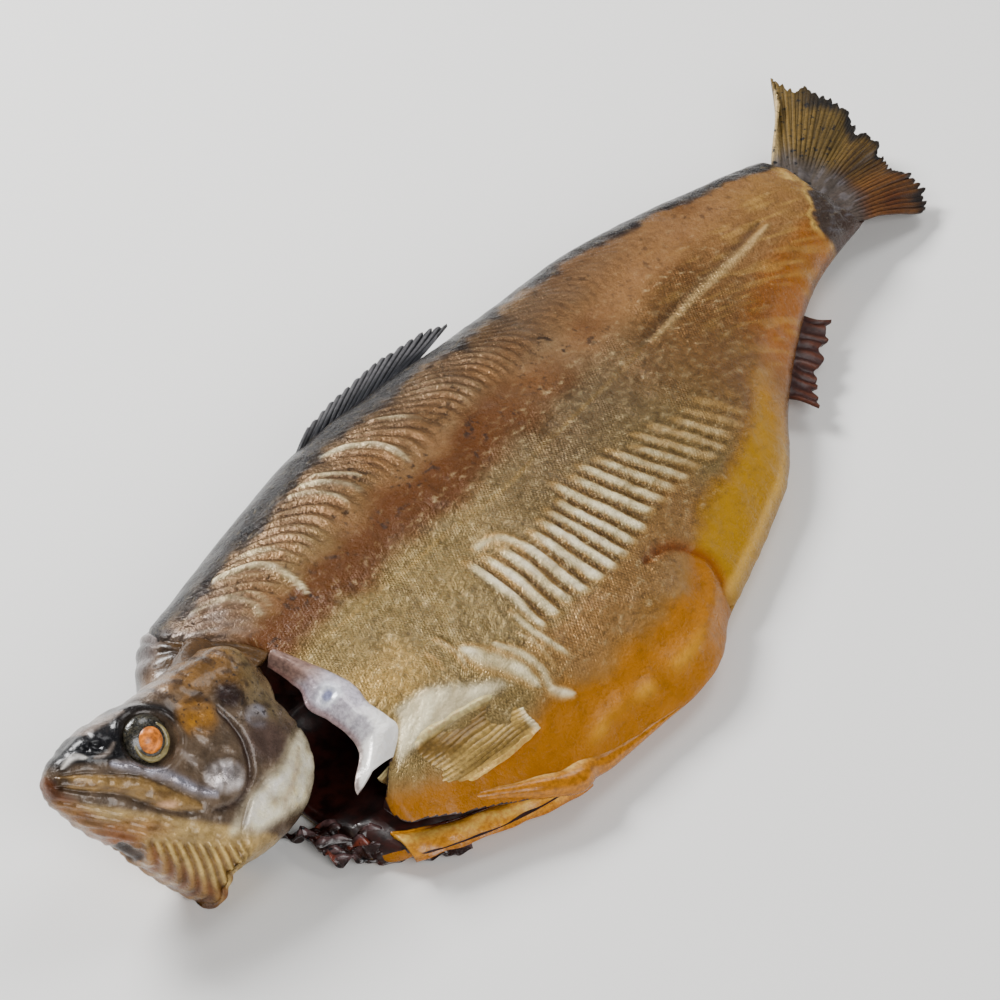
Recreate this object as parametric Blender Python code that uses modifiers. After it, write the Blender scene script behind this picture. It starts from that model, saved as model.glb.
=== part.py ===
"""Smoked trout: a whole gutted trout on its right side, its head raised and turned, its belly slit at the throat."""

import math

import bmesh
import bpy
import numpy as np

# Sizes in millimetres, on a plan with +X to the tail, +Y to the back and +Z to the fish's left side.
MM = 0.001
PIECES = "smoked_trout"
SKIN_COLOUR = (0.36, 0.2, 0.07, 1)
SKIN_ROUGHNESS = 0.35
TRUNK_RING = 44
TRUNK_STATIONS = (*range(40, 131, 5), *range(136, 293, 6))
OVAL_RING = 24
OVAL_POWER = 2.4
BALL_STEPS = (16, 10)

# Trunk by distance from the snout end: back line, belly line, half thickness, edge half thickness, mid heights.
TRUNK_X = (24, 40, 60, 80, 100, 115, 128, 138, 150, 170, 190, 208, 230, 251, 270, 292)
BACK_Y = (3, 7, 13.5, 19.5, 24.5, 25.8, 26.4, 26.4, 26, 26.4, 27.6, 27.8, 25.3, 21.8, 18.4, 15)
BELLY_Y = (-66, -74, -82.5, -86.5, -87.5, -87.8, -84.5, -78.5, -74, -66.5, -57.5, -44, -30.5, -20.5, -15.5, -13)
HALF_T = (11.5, 14.5, 16.3, 16.8, 16.8, 16.6, 16.2, 15.8, 15.2, 13.6, 12, 10.4, 8.7, 7.2, 5.2, 2.2)
EDGE_T = (3, 3, 3, 3.2, 3.2, 3.2, 3, 3, 3, 3, 3, 3, 3.2, 3.4, 3.4, 2)
BACK_Z = (20, 20, 20, 20, 20, 20, 20, 20, 20, 19.5, 19, 18.6, 17.8, 16.8, 16, 14.5)
BELLY_Z = (9, 8, 7, 6.4, 6, 6, 6, 6, 6, 6, 6.6, 7.8, 9, 10, 10.6, 10.6)
THICKEST = 0.3
FALL_POWER = 1.8
EDGE_POWER = 8
TAIL_LIFT = 0.6
TAIL_LIFT_X = (200, 260)

# Shoulder: how far forward each side starts, from the back to the belly slit.
SHOULDER_Y = (5, -3, -11, -18, -30, -47, -56, -61, -66, -72)
SHOULDER_X = (32, 30, 35, 41, 44, 46, 46, 39, 36, 36)
RIGHT_SHOULDER_X = (58, 50, 42, 38, 35, 32, 31, 31, 33, 36)
SHOULDER_BLEND = (40, 90)
RIDGE_SOFTNESS = 0.08

# Body hollow that the throat shows, and the open end of the belly slit.
HOLLOW_X = (12, 26, 42, 58, 76, 94, 112)
HOLLOW_Y = (-40, -40, -42, -46, -50, -54, -57)
HOLLOW_HALF_Y = (25, 24, 21, 19, 16, 11, 3)
HOLLOW_Z = (17, 16, 15, 14, 12.5, 11, 10)
HOLLOW_HALF_Z = (13, 12.5, 11, 9, 7, 4.5, 1.5)
SLIT_X = (28, 40, 52, 62, 70)
SLIT_Z = (10.2, 9.6, 8.6, 7.6, 6.9)
SLIT_HALF_Z = (4.0, 3.4, 2.5, 1.4, 0.5)
SLIT_Y = (-56, -98)
SLIT_FLARE = 1.2

# Head in its own axes: forward from the gill cover's rear edge, up to the crown, out to the left cheek.
HEAD_SCALE = 0.947
HEAD_AT = (33.6, -35.8, 13.1)
HEAD_FORWARD = (-0.858, 0.316, 0.405)
HEAD_UP = (0.513, 0.491, 0.704)
HEAD_LEFT = (-0.023, -0.812, 0.583)
HEAD_X = (62.5, 61, 58, 53, 47, 41, 35, 28, 20, 12, 5, -1)
CROWN_Y = (-1, 1.8, 4.6, 9, 12, 14.8, 18, 22.2, 25.6, 27.2, 26.6, 21.5)
THROAT_Y = (-3.6, -6.5, -9, -12.6, -16, -19.4, -23.4, -27.6, -31, -31.5, -28, -21)
CHEEK_Z = (1.6, 3.6, 5.4, 7.4, 9, 10.4, 11.5, 12.6, 13.8, 14.6, 14, 12)
HEAD_RING = 36
HEAD_STATIONS = (62.5, 61.5, 60, 58, 55, 51, 47, 43, 39, 35, 31, 27, 23, 19, 15, 11, 7, 3, -1)
HEAD_OVAL_POWER = 2.2
CROWN_POWER = 0.92
CHEEK_POWER = 0.62
THROAT_NARROWING = 0.15

# The gill covers' rear edge: how it curves round its foremost height, its longest sweep, and where it fades.
GILL_EDGE_BULGE = 0.033
GILL_EDGE_MIDDLE_Y = -2
GILL_EDGE_TOP_Y = 14
GILL_EDGE_MOST = 16
GILL_EDGE_FADE = (4, 24)

# Nape: its line from the skull to the inside of the trunk, with half height and half width at both ends.
NECK_LINE = ((15, -25, 28), (26, -20, 25), (40, -11, 19), (58, -10, 19))
NECK_TALL = (14.5, 21)
NECK_WIDE = (11, 15)
NECK_RINGS = 9
NECK_SIZE = 28

# Gill chamber behind the cheeks, and the eyes.
CHAMBER_X = (-14, -4, 6, 14, 21, 26)
CHAMBER_Y = (-8, -8, -7.5, -8, -9, -10)
CHAMBER_HALF_Y = (22, 19, 15, 12, 8, 3)
CHAMBER_HALF_Z = (8, 9, 9.8, 9.2, 7, 3)
EYE_AT = (40.5, 6.5)
SOCKET_OUT = 12.6
SOCKET_RADII = (6.2, 6.2, 4.2)
EYE_OUT = 8.4
EYE_RADII = (5.4, 5.4, 2.8)

# Lower jaw from the chin back, and the plate over each corner of the mouth.
JAW_X = (60.5, 57, 52, 46, 40, 34, 28)
JAW_Y = (-6.6, -8.2, -10.6, -13, -15.6, -18.6, -21.4)
JAW_HALF_Y = (2.6, 3.8, 4.8, 5.4, 5.8, 6.2, 6.2)
JAW_HALF_Z = (3.6, 5.8, 7.6, 9.2, 10.2, 10.8, 10.8)
JAW_PLATE_AT = (38, -8.6)
JAW_PLATE_OUT = 9.8
JAW_PLATE_RADII = (12.5, 3.0, 2.2)

# Tail fin by ray, from the upper lobe to the lower one: root, tip and tip height.
TAIL_ROOT = (
    (281, 15.5), (284, 13), (286, 9.5), (287, 6), (288, 2.5), (288, -1), (287, -5), (285, -9), (281, -13),
)
TAIL_TIP = (
    (304, 30), (314.5, 40.5), (316, 29), (318, 18), (311, 8), (314, 2), (309, -5), (313, -11), (306, -19),
)
TAIL_TIP_Z = (19, 19, 17, 16, 14, 11, 9, 6.5, 4.5)
TAIL_OVERLAP = 0.28
TAIL_ROOT_Z = 13.2
TAIL_RISE_POWER = 1.3
TAIL_FOLD = 0.9
TAIL_THICK = 1.7
RAY_STEPS = 6

# Back fin: its base along the back, and its reach to the tail, which changes from the first ray to the last.
BACK_FIN_X = (97, 139)
BACK_FIN_COLUMNS = 9
BACK_FIN_INSET = 5.5
BACK_FIN_Z = 28.5
BACK_FIN_REACH = (15, 6.5, 1.5)
BACK_FIN_CHANGE = (11, 0, -2.5)
BACK_FIN_SWELL = 2
BACK_FIN_TURN = 3
BACK_FIN_ROWS = (-0.25, 0.45, 1)
BACK_FIN_THICK = 2.2

# Vent fin under the tail stem.
VENT_FIN_X = (212, 239)
VENT_FIN_COLUMNS = 7
VENT_FIN_INSET = 3.5
VENT_FIN_REACH = (3, -9.5, -2.2)
VENT_FIN_CHANGE = (3, 3, 0)
VENT_FIN_ROWS = (0, 0.6, 1)
VENT_FIN_THICK = 1.8

# Left breast fin: its upper and lower edge from the root to the tip.
BREAST_FIN_UPPER = ((40, -60, 23), (52, -61.5, 22.6), (64, -63, 21.5), (76, -65.5, 19.5))
BREAST_FIN_LOWER = ((38, -70, 15.2), (50, -74, 14.6), (62, -76, 14.2), (73, -75, 14.4))
BREAST_FIN_ROWS = (0, 0.33, 0.66, 1)
BREAST_FIN_DOME = 1.2
BREAST_FIN_THICK = 4.6

# Rolled edge of the upper belly flap: its inset from the belly line, its height and its radius.
RIM_X = (50, 58, 66, 74, 82, 92, 104, 116, 126)
RIM_INSET = (5.5, 3.2, 1.0, -0.6, 0.4, 1.6, 1.6, 1.6, 2.2)
RIM_Z = (12.5, 11.4, 9.6, 7.4, 8.4, 8.6, 8.4, 8.2, 8)
RIM_RADIUS = (1.2, 1.8, 2.6, 3.6, 3, 2.6, 2.5, 2.2, 1)
RIM_RING = 12


def bend(xs, ys, x):
    """A smooth curve through a short table of points."""
    xs, ys, x = np.asarray(xs, float), np.asarray(ys, float), np.asarray(x, float)
    slope = np.gradient(ys, xs)
    i = np.clip(np.searchsorted(xs, x) - 1, 0, len(xs) - 2)
    gap = xs[i + 1] - xs[i]
    t = np.clip((x - xs[i]) / gap, 0, 1)
    first = (1 + 2 * t) * (1 - t) ** 2 * ys[i] + t * (1 - t) ** 2 * gap * slope[i]
    return first + t * t * (3 - 2 * t) * ys[i + 1] + t * t * (t - 1) * gap * slope[i + 1]


def ease(low, high, x):
    t = np.clip((np.asarray(x, float) - low) / (high - low), 0, 1)
    return t * t * (3 - 2 * t)


def linked(name, mesh):
    """A new object of this mesh in the collection of pieces."""
    obj = bpy.data.objects.new(name, mesh)
    bpy.data.collections[PIECES].objects.link(obj)
    return obj


def mesh_object(name, points, faces):
    """A closed object from millimetre points, its faces turned outward."""
    mesh = bpy.data.meshes.new(name)
    mesh.from_pydata([tuple(p) for p in np.asarray(points, float) * MM], [], faces)
    made = bmesh.new()
    made.from_mesh(mesh)
    bmesh.ops.recalc_face_normals(made, faces=made.faces)
    if made.calc_volume(signed=True) < 0:
        bmesh.ops.reverse_faces(made, faces=made.faces)
    made.to_mesh(mesh)
    made.free()
    return linked(name, mesh)


def loft(name, rings):
    """A solid through rings of equal length, with a fan at each end."""
    rings = np.asarray(rings, float)
    count, size = rings.shape[:2]
    points = np.concatenate([rings.reshape(-1, 3), rings[[0, -1]].mean(axis=1)])
    faces = []
    for i in range(count - 1):
        for j in range(size):
            k = (j + 1) % size
            a, b = i * size, (i + 1) * size
            faces += [(a + j, a + k, b + k), (a + j, b + k, b + j)]
    for row, centre in ((0, count * size), (count - 1, count * size + 1)):
        faces += [(row * size + j, row * size + (j + 1) % size, centre) for j in range(size)]
    return mesh_object(name, points, faces)


def oval_rings(xs, ys, half_ys, zs, half_zs, power=OVAL_POWER):
    """Rings standing across +X, each a rounded box."""
    a = np.linspace(0, 2 * math.pi, OVAL_RING, endpoint=False)
    c, s = np.cos(a), np.sin(a)
    wide = np.sign(c) * np.abs(c) ** (2 / power)
    tall = np.sign(s) * np.abs(s) ** (2 / power)
    return [
        np.stack([np.full(OVAL_RING, x), y + half_y * wide, z + half_z * tall], axis=1)
        for x, y, half_y, z, half_z in zip(xs, ys, half_ys, zs, half_zs)
    ]


def trunk_section(x):
    """The trunk's ring at one distance, from the back over the left side to the belly and back below."""
    a = np.linspace(0, 2 * math.pi, TRUNK_RING, endpoint=False)
    u = (1 - np.cos(a)) / 2
    left = np.where(a <= math.pi, 1.0, -1.0)
    leftness = 0.5 + 0.5 * np.sin(a) / np.sqrt(np.sin(a) ** 2 + RIDGE_SOFTNESS)
    value = {
        key: bend(TRUNK_X, table, x)
        for key, table in (
            ("back", BACK_Y), ("belly", BELLY_Y), ("half", HALF_T), ("edge", EDGE_T),
            ("back_z", BACK_Z), ("belly_z", BELLY_Z),
        )
    }
    rise = np.sqrt(np.clip(1 - ((THICKEST - np.minimum(u, THICKEST)) / THICKEST) ** 2, 0, 1))
    fall = np.cos(0.5 * math.pi * (np.clip(u - THICKEST, 0, 1) / (1 - THICKEST)) ** FALL_POWER)
    rim = np.sqrt(np.clip(1 - np.abs(2 * u - 1) ** EDGE_POWER, 0, 1))
    half = value["half"] * rise * fall + value["edge"] * rim
    y = value["back"] + (value["belly"] - value["back"]) * u
    mid = value["back_z"] + (value["belly_z"] - value["back_z"]) * u
    z = np.maximum(mid + left * half, TAIL_LIFT * ease(*TAIL_LIFT_X, x))
    near, far = (bend(SHOULDER_Y[::-1], table[::-1], y) for table in (SHOULDER_X, RIGHT_SHOULDER_X))
    shoulder = far + (near - far) * leftness
    pull = (shoulder - SHOULDER_BLEND[0]) * (1 - ease(*SHOULDER_BLEND, x))
    return np.stack([x + pull, y, z], axis=1)


def trunk():
    return loft("trout", [trunk_section(x) for x in TRUNK_STATIONS])


def body_hollow():
    hollow = oval_rings(HOLLOW_X, HOLLOW_Y, HOLLOW_HALF_Y, HOLLOW_Z, HOLLOW_HALF_Z)
    return loft("body_hollow", hollow)


def belly_slit():
    near, far = SLIT_Y
    rings = []
    for x, z, half in zip(SLIT_X, SLIT_Z, SLIT_HALF_Z):
        wide = half * SLIT_FLARE
        rings.append([(x, near, z - half), (x, near, z + half), (x, far, z + wide), (x, far, z - wide)])
    return loft("belly_slit", rings)


def to_plan(local):
    """Points in the head's own axes, carried to the plan. The throat rests on the ground."""
    axes = np.array([HEAD_FORWARD, HEAD_UP, HEAD_LEFT])
    points = np.array(HEAD_AT) + HEAD_SCALE * np.asarray(local, float) @ axes
    points[:, 2] = np.maximum(points[:, 2], 0)
    return points


def head_section(x):
    """One ring of the head, from the crown down the left cheek to the throat and up the right."""
    a = np.linspace(0, 2 * math.pi, HEAD_RING, endpoint=False)
    flipped = HEAD_X[::-1]
    crown, throat, cheek = (bend(flipped, t[::-1], x) for t in (CROWN_Y, THROAT_Y, CHEEK_Z))
    middle, tall = (crown + throat) / 2, (crown - throat) / 2
    c, s = np.cos(a), np.sin(a)
    y = middle + tall * np.sign(c) * np.abs(c) ** CROWN_POWER
    low = np.clip((middle - y) / tall, 0, 1)
    z = cheek * np.sign(s) * np.abs(s) ** CHEEK_POWER * (1 - THROAT_NARROWING * low**2)
    sweep = GILL_EDGE_BULGE * (np.minimum(y, GILL_EDGE_TOP_Y) - GILL_EDGE_MIDDLE_Y) ** 2
    sweep = np.minimum(sweep, GILL_EDGE_MOST) * (1 - ease(*GILL_EDGE_FADE, x))
    return np.stack([x + sweep, y, z], axis=1)


def head():
    return loft("head", [to_plan(head_section(x)) for x in HEAD_STATIONS])


def gill_chamber():
    centred = (0,) * len(CHAMBER_X)
    rings = oval_rings(CHAMBER_X, CHAMBER_Y, CHAMBER_HALF_Y, centred, CHAMBER_HALF_Z, HEAD_OVAL_POWER)
    return loft("gill_chamber", [to_plan(r) for r in rings])


def neck():
    """The nape: a bridge from the skull's rear to the shoulder of the trunk."""
    up, left = np.array(HEAD_UP), np.array(HEAD_LEFT)
    a = np.linspace(0, 2 * math.pi, NECK_SIZE, endpoint=False)
    rings = []
    for t in np.linspace(0, 1, NECK_RINGS):
        weights = ((1 - t) ** 3, 3 * t * (1 - t) ** 2, 3 * t * t * (1 - t), t**3)
        centre = sum(w * np.array(p) for w, p in zip(weights, NECK_LINE))
        ring_up, ring_left = up * (1 - t) + (0, t, 0), left * (1 - t) + (0, 0, t)
        tall, wide = (ends[0] + (ends[1] - ends[0]) * t for ends in (NECK_TALL, NECK_WIDE))
        ring = tall * np.cos(a)[:, None] * ring_up / np.linalg.norm(ring_up)
        ring = ring + wide * np.sin(a)[:, None] * ring_left / np.linalg.norm(ring_left)
        rings.append(centre + ring)
    return loft("neck", rings)


def ball(name, centre, radii):
    """A rounded lump in the head's own axes."""
    made = bmesh.new()
    around, down = BALL_STEPS
    bmesh.ops.create_uvsphere(made, u_segments=around, v_segments=down, radius=1)
    local = np.array([v.co for v in made.verts]) * radii + centre
    for vertex, place in zip(made.verts, to_plan(local) * MM):
        vertex.co = place
    bmesh.ops.reverse_faces(made, faces=made.faces)
    mesh = bpy.data.meshes.new(name)
    made.to_mesh(mesh)
    made.free()
    return linked(name, mesh)


def on_both_cheeks(name, at, out, radii):
    return [ball(f"{name}_{side}", (*at, side * out), radii) for side in (-1, 1)]


def eye_sockets():
    return on_both_cheeks("socket", EYE_AT, SOCKET_OUT, SOCKET_RADII)


def eyes():
    return on_both_cheeks("eye", EYE_AT, EYE_OUT, EYE_RADII)


def jaws():
    """The lower jaw with its slight step under the mouth, and the jaw plate over each corner."""
    rings = oval_rings(JAW_X, JAW_Y, JAW_HALF_Y, (0,) * len(JAW_X), JAW_HALF_Z, HEAD_OVAL_POWER)
    lower = loft("lower_jaw", [to_plan(r) for r in rings])
    return [lower, *on_both_cheeks("jaw_plate", JAW_PLATE_AT, JAW_PLATE_OUT, JAW_PLATE_RADII)]


def sheet(name, grid, thick):
    """A thin closed sheet: an open surface over a grid of points, made solid."""
    grid = np.asarray(grid, float)
    rows, columns = grid.shape[:2]
    faces = []
    for i in range(rows - 1):
        for j in range(columns - 1):
            a, c = i * columns + j, (i + 1) * columns + j + 1
            faces += [(a, a + 1, c), (a, c, c - 1)]
    mesh = bpy.data.meshes.new(name)
    mesh.from_pydata([tuple(p) for p in grid.reshape(-1, 3) * MM], [], faces)
    mesh.validate()
    obj = linked(name, mesh)
    solid = obj.modifiers.new("thickness", "SOLIDIFY")
    solid.thickness, solid.offset = thick * MM, 0
    return obj


def tail_fin():
    """The crumpled fan of the tail: each drawn ray with a valley between it and the next."""
    rays = 2 * len(TAIL_ROOT) - 1
    at = np.linspace(0, len(TAIL_ROOT) - 1, rays)
    index = np.arange(len(TAIL_ROOT))
    root = np.stack([np.interp(at, index, [p[k] for p in TAIL_ROOT]) for k in (0, 1)], axis=1)
    tip = np.stack([np.interp(at, index, [p[k] for p in TAIL_TIP]) for k in (0, 1)], axis=1)
    tip_z = np.interp(at, index, TAIL_TIP_Z)
    grid = np.zeros((rays, RAY_STEPS + 1, 3))
    for step in range(RAY_STEPS + 1):
        t = step / RAY_STEPS
        start = root - (tip - root) * TAIL_OVERLAP
        grid[:, step, :2] = start + (tip - start) * t
        fold = TAIL_FOLD * t * np.where(np.arange(rays) % 2 == 0, 1, -1)
        grid[:, step, 2] = TAIL_ROOT_Z + (tip_z - TAIL_ROOT_Z) * t**TAIL_RISE_POWER + fold
    return sheet("tail_fin", grid, TAIL_THICK)


def fin_grid(base, reach, rows):
    return np.stack([base + reach * row for row in rows])


def back_fin():
    """The back fin, collapsed along the back with its ray ends trailing to the tail."""
    t = np.linspace(0, 1, BACK_FIN_COLUMNS)[:, None]
    x = BACK_FIN_X[0] + (BACK_FIN_X[1] - BACK_FIN_X[0]) * t
    base = np.concatenate([x, bend(TRUNK_X, BACK_Y, x) - BACK_FIN_INSET, np.full_like(x, BACK_FIN_Z)], axis=1)
    reach = np.array(BACK_FIN_REACH) + np.array(BACK_FIN_CHANGE) * t
    reach[:, 1:2] += BACK_FIN_SWELL * np.sin(BACK_FIN_TURN * t)
    return sheet("back_fin", fin_grid(base, reach, BACK_FIN_ROWS), BACK_FIN_THICK)


def vent_fin():
    """The small fin under the tail stem."""
    t = np.linspace(0, 1, VENT_FIN_COLUMNS)[:, None]
    x = VENT_FIN_X[0] + (VENT_FIN_X[1] - VENT_FIN_X[0]) * t
    base = np.concatenate([x, bend(TRUNK_X, BELLY_Y, x) + VENT_FIN_INSET, bend(TRUNK_X, BELLY_Z, x)], axis=1)
    reach = np.array(VENT_FIN_REACH) + np.array(VENT_FIN_CHANGE) * t
    return sheet("vent_fin", fin_grid(base, reach, VENT_FIN_ROWS), VENT_FIN_THICK)


def breast_fin():
    """The left breast fin, folded flat against the flank behind the gill opening."""
    upper, lower = np.array(BREAST_FIN_UPPER, float), np.array(BREAST_FIN_LOWER, float)
    grid = fin_grid(upper, lower - upper, BREAST_FIN_ROWS)
    grid[..., 2] += BREAST_FIN_DOME * np.sin(math.pi * np.array(BREAST_FIN_ROWS))[:, None]
    return sheet("breast_fin", grid, BREAST_FIN_THICK)


def belly_rim():
    """The rolled edge of the upper belly flap, with its bulge at the end of the slit."""
    a = np.linspace(0, 2 * math.pi, RIM_RING, endpoint=False)
    rings = []
    for x, inset, z, r in zip(RIM_X, RIM_INSET, RIM_Z, RIM_RADIUS):
        y = bend(TRUNK_X, BELLY_Y, x) + inset
        rings.append(np.stack([np.full(RIM_RING, x), y + r * np.cos(a), z + r * np.sin(a)], axis=1))
    return loft("belly_rim", rings)


def combine(base, others, operation):
    """One Boolean of a collection on base, applied, with the collection's objects removed."""
    group = bpy.data.collections.new("tools")
    for other in others:
        group.objects.link(other)
    step = base.modifiers.new("fuse", "BOOLEAN")
    step.operation, step.operand_type = operation, "COLLECTION"
    step.collection, step.solver = group, "MANIFOLD"
    graph = bpy.context.evaluated_depsgraph_get()
    result = bpy.data.meshes.new_from_object(base.evaluated_get(graph))
    base.modifiers.remove(step)
    base.data = result
    for other in others:
        bpy.data.objects.remove(other)
    bpy.data.collections.remove(group)


def paint(obj):
    """The smoked skin: golden brown with a soft shine."""
    skin = bpy.data.materials.new("smoked_skin")
    skin.use_nodes = True
    shader = skin.node_tree.nodes["Principled BSDF"]
    shader.inputs["Base Color"].default_value = SKIN_COLOUR
    shader.inputs["Roughness"].default_value = SKIN_ROUGHNESS
    shader.inputs["Metallic"].default_value = 0
    obj.data.materials.clear()
    obj.data.materials.append(skin)


def settle(obj):
    """Moves the solid so that the origin is the middle of its box, on the ground."""
    points = np.zeros(len(obj.data.vertices) * 3, np.float32)
    obj.data.vertices.foreach_get("co", points)
    points = points.reshape(-1, 3)
    low, high = points.min(axis=0), points.max(axis=0)
    shift = np.array([(low[0] + high[0]) / 2, (low[1] + high[1]) / 2, low[2]])
    print("shift in mm", (shift / MM).round(3), "size in mm", ((high - low) / MM).round(2))
    obj.data.vertices.foreach_set("co", (points - shift).astype(np.float32).ravel())
    obj.data.update()


def build():
    for obj in list(bpy.data.objects):
        bpy.data.objects.remove(obj)
    bpy.context.scene.collection.children.link(bpy.data.collections.new(PIECES))
    skull = head()
    combine(skull, jaws(), "UNION")
    combine(skull, [gill_chamber(), *eye_sockets()], "DIFFERENCE")
    body = trunk()
    combine(body, [neck()], "UNION")
    combine(body, [body_hollow(), belly_slit()], "DIFFERENCE")
    fins = [tail_fin(), back_fin(), vent_fin(), breast_fin()]
    combine(body, [skull, *eyes(), *fins, belly_rim()], "UNION")
    settle(body)
    paint(body)


build()
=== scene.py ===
"""The looks of the smoked trout: oily golden skin, silver folds with painted highlights on their crests, dried fins
and the open gill.
"""

import math

import bpy
import numpy as np
from mathutils import Matrix, Vector


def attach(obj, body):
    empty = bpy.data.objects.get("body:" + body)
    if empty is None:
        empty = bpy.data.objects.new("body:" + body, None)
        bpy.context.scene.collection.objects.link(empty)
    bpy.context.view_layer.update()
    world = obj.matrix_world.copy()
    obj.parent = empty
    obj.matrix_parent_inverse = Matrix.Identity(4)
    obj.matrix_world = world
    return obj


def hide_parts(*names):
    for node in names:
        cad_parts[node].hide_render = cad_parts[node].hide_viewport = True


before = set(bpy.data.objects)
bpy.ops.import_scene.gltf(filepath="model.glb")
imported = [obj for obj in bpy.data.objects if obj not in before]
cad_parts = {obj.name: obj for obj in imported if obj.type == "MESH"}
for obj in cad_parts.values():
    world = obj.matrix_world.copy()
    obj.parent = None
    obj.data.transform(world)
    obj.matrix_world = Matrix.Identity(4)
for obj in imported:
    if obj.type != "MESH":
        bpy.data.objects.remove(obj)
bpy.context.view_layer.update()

# Sizes are in millimetres on the fish's own plan: +X to the tail, +Y to the back, +Z out of the left flank.
# PLAN_ORIGIN is where the frame's origin lies on that plan.
MM = 0.001
PLAN_ORIGIN = np.array((149.032, -24.524, 0.0))
TURN = 2 * math.pi
SEED = 7

# Trunk by distance from the snout end: back line, belly line, half thickness, edge half thickness, mid heights.
TRUNK_X = (24, 40, 60, 80, 100, 115, 128, 138, 150, 170, 190, 208, 230, 251, 270, 292)
BACK_Y = (3, 7, 13.5, 19.5, 24.5, 25.8, 26.4, 26.4, 26, 26.4, 27.6, 27.8, 25.3, 21.8, 18.4, 15)
BELLY_Y = (-66, -74, -82.5, -86.5, -87.5, -87.8, -84.5, -78.5, -74, -66.5, -57.5, -44, -30.5, -20.5, -15.5, -13)
HALF_T = (11.5, 14.5, 16.3, 16.8, 16.8, 16.6, 16.2, 15.8, 15.2, 13.6, 12, 10.4, 8.7, 7.2, 5.2, 2.2)
EDGE_T = (3, 3, 3, 3.2, 3.2, 3.2, 3, 3, 3, 3, 3, 3, 3.2, 3.4, 3.4, 2)
BACK_Z = (20, 20, 20, 20, 20, 20, 20, 20, 20, 19.5, 19, 18.6, 17.8, 16.8, 16, 14.5)
BELLY_Z = (9, 8, 7, 6.4, 6, 6, 6, 6, 6, 6, 6.6, 7.8, 9, 10, 10.6, 10.6)
THICKEST = 0.3
FALL_POWER = 1.8
EDGE_POWER = 8
TAIL_LIFT = 0.6
TAIL_LIFT_X = (200, 260)
SHOULDER_Y = (5, -3, -11, -18, -30, -47, -56, -61, -66, -72)
SHOULDER_X = (32, 30, 35, 41, 44, 46, 46, 39, 36, 36)
RIGHT_SHOULDER_X = (58, 50, 42, 38, 35, 32, 31, 31, 33, 36)
SHOULDER_BLEND = (40, 90)
RIDGE_SOFTNESS = 0.08
EDGE_ROUND = 2.4

# Body hollow that the throat shows, and the open end of the belly slit.
HOLLOW_X = (12, 26, 42, 58, 76, 94, 112)
HOLLOW_Y = (-40, -40, -42, -46, -50, -54, -57)
HOLLOW_HALF_Y = (25, 24, 21, 19, 16, 11, 3)
HOLLOW_Z = (17, 16, 15, 14, 12.5, 11, 10)
HOLLOW_HALF_Z = (13, 12.5, 11, 9, 7, 4.5, 1.5)
SLIT_X = (28, 40, 52, 62, 70)
SLIT_Z = (10.2, 9.6, 8.6, 7.6, 6.9)
SLIT_HALF_Z = (4.0, 3.4, 2.5, 1.4, 0.5)
SLIT_Y = (-56, -98)

# Head in its own axes: forward from the gill cover's rear edge, up to the crown, out to the left cheek.
HEAD_SCALE = 0.947
HEAD_AT = (33.6, -35.8, 13.1)
HEAD_AXES = np.array(((-0.858, 0.316, 0.405), (0.513, 0.491, 0.704), (-0.023, -0.812, 0.583)))
HEAD_X = (62.5, 61, 58, 53, 47, 41, 35, 28, 20, 12, 5, -1)
CROWN_Y = (-1, 1.8, 4.6, 9, 12, 14.8, 18, 22.2, 25.6, 27.2, 26.6, 21.5)
THROAT_Y = (-3.6, -6.5, -9, -12.6, -16, -19.4, -23.4, -27.6, -31, -31.5, -28, -21)
CHEEK_Z = (1.6, 3.6, 5.4, 7.4, 9, 10.4, 11.5, 12.6, 13.8, 14.6, 14, 12)
GILL_EDGE_BULGE = 0.033
NECK_LINE = ((15, -25, 28), (26, -20, 25), (40, -11, 19), (58, -10, 19))
NECK_TALL = (14.5, 16.8)
NECK_WIDE = (10.5, 12.4)
CHAMBER_X = (-14, -4, 6, 14, 21, 26)
CHAMBER_Y = (-8, -8, -7.5, -8, -9, -10)
CHAMBER_HALF_Y = (22, 19, 15, 12, 8, 3)
CHAMBER_HALF_Z = (8, 9, 9.8, 9.2, 7, 3)
EYE_AT = (40.5, 6.2)

# Tail fin by ray, from the upper lobe to the lower one: root, tip and tip height.
TAIL_ROOT = ((281, 15.5), (284, 13), (286, 9.5), (287, 6), (288, 2.5), (288, -1), (287, -5), (285, -9), (281, -13))
TAIL_TIP = (
    (304, 30), (314.5, 40.5), (316, 29), (318, 18), (311, 8), (314, 2), (309, -5), (313, -11), (306, -19),
)
TAIL_TIP_Z = (19, 19, 17, 16, 14, 11, 9, 6.5, 4.5)


def tone(red, green, blue):
    """A colour as seen on a screen, from 0 to 255, as the linear colour that a shader takes."""
    c = np.array((red, green, blue), float) / 255
    return np.where(c <= 0.04045, c / 12.92, ((c + 0.055) / 1.055) ** 2.4)


BLACK = tone(14, 14, 18)
SLATE = tone(36, 36, 40)
SILVER = tone(132, 120, 112)
WHITE = tone(250, 246, 240)
CREAM = tone(246, 232, 190)
COPPER = tone(138, 98, 60)
ROSE = tone(122, 96, 72)
RUSSET = tone(84, 44, 8)
OLIVE = tone(134, 112, 68)
TAUPE = tone(126, 103, 72)
TAN = tone(134, 94, 52)
AMBER = tone(160, 98, 0)
GOLD = tone(168, 122, 8)
ORANGE = tone(156, 90, 20)
STRAW = tone(198, 158, 84)
MAROON = tone(56, 20, 14)


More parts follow.
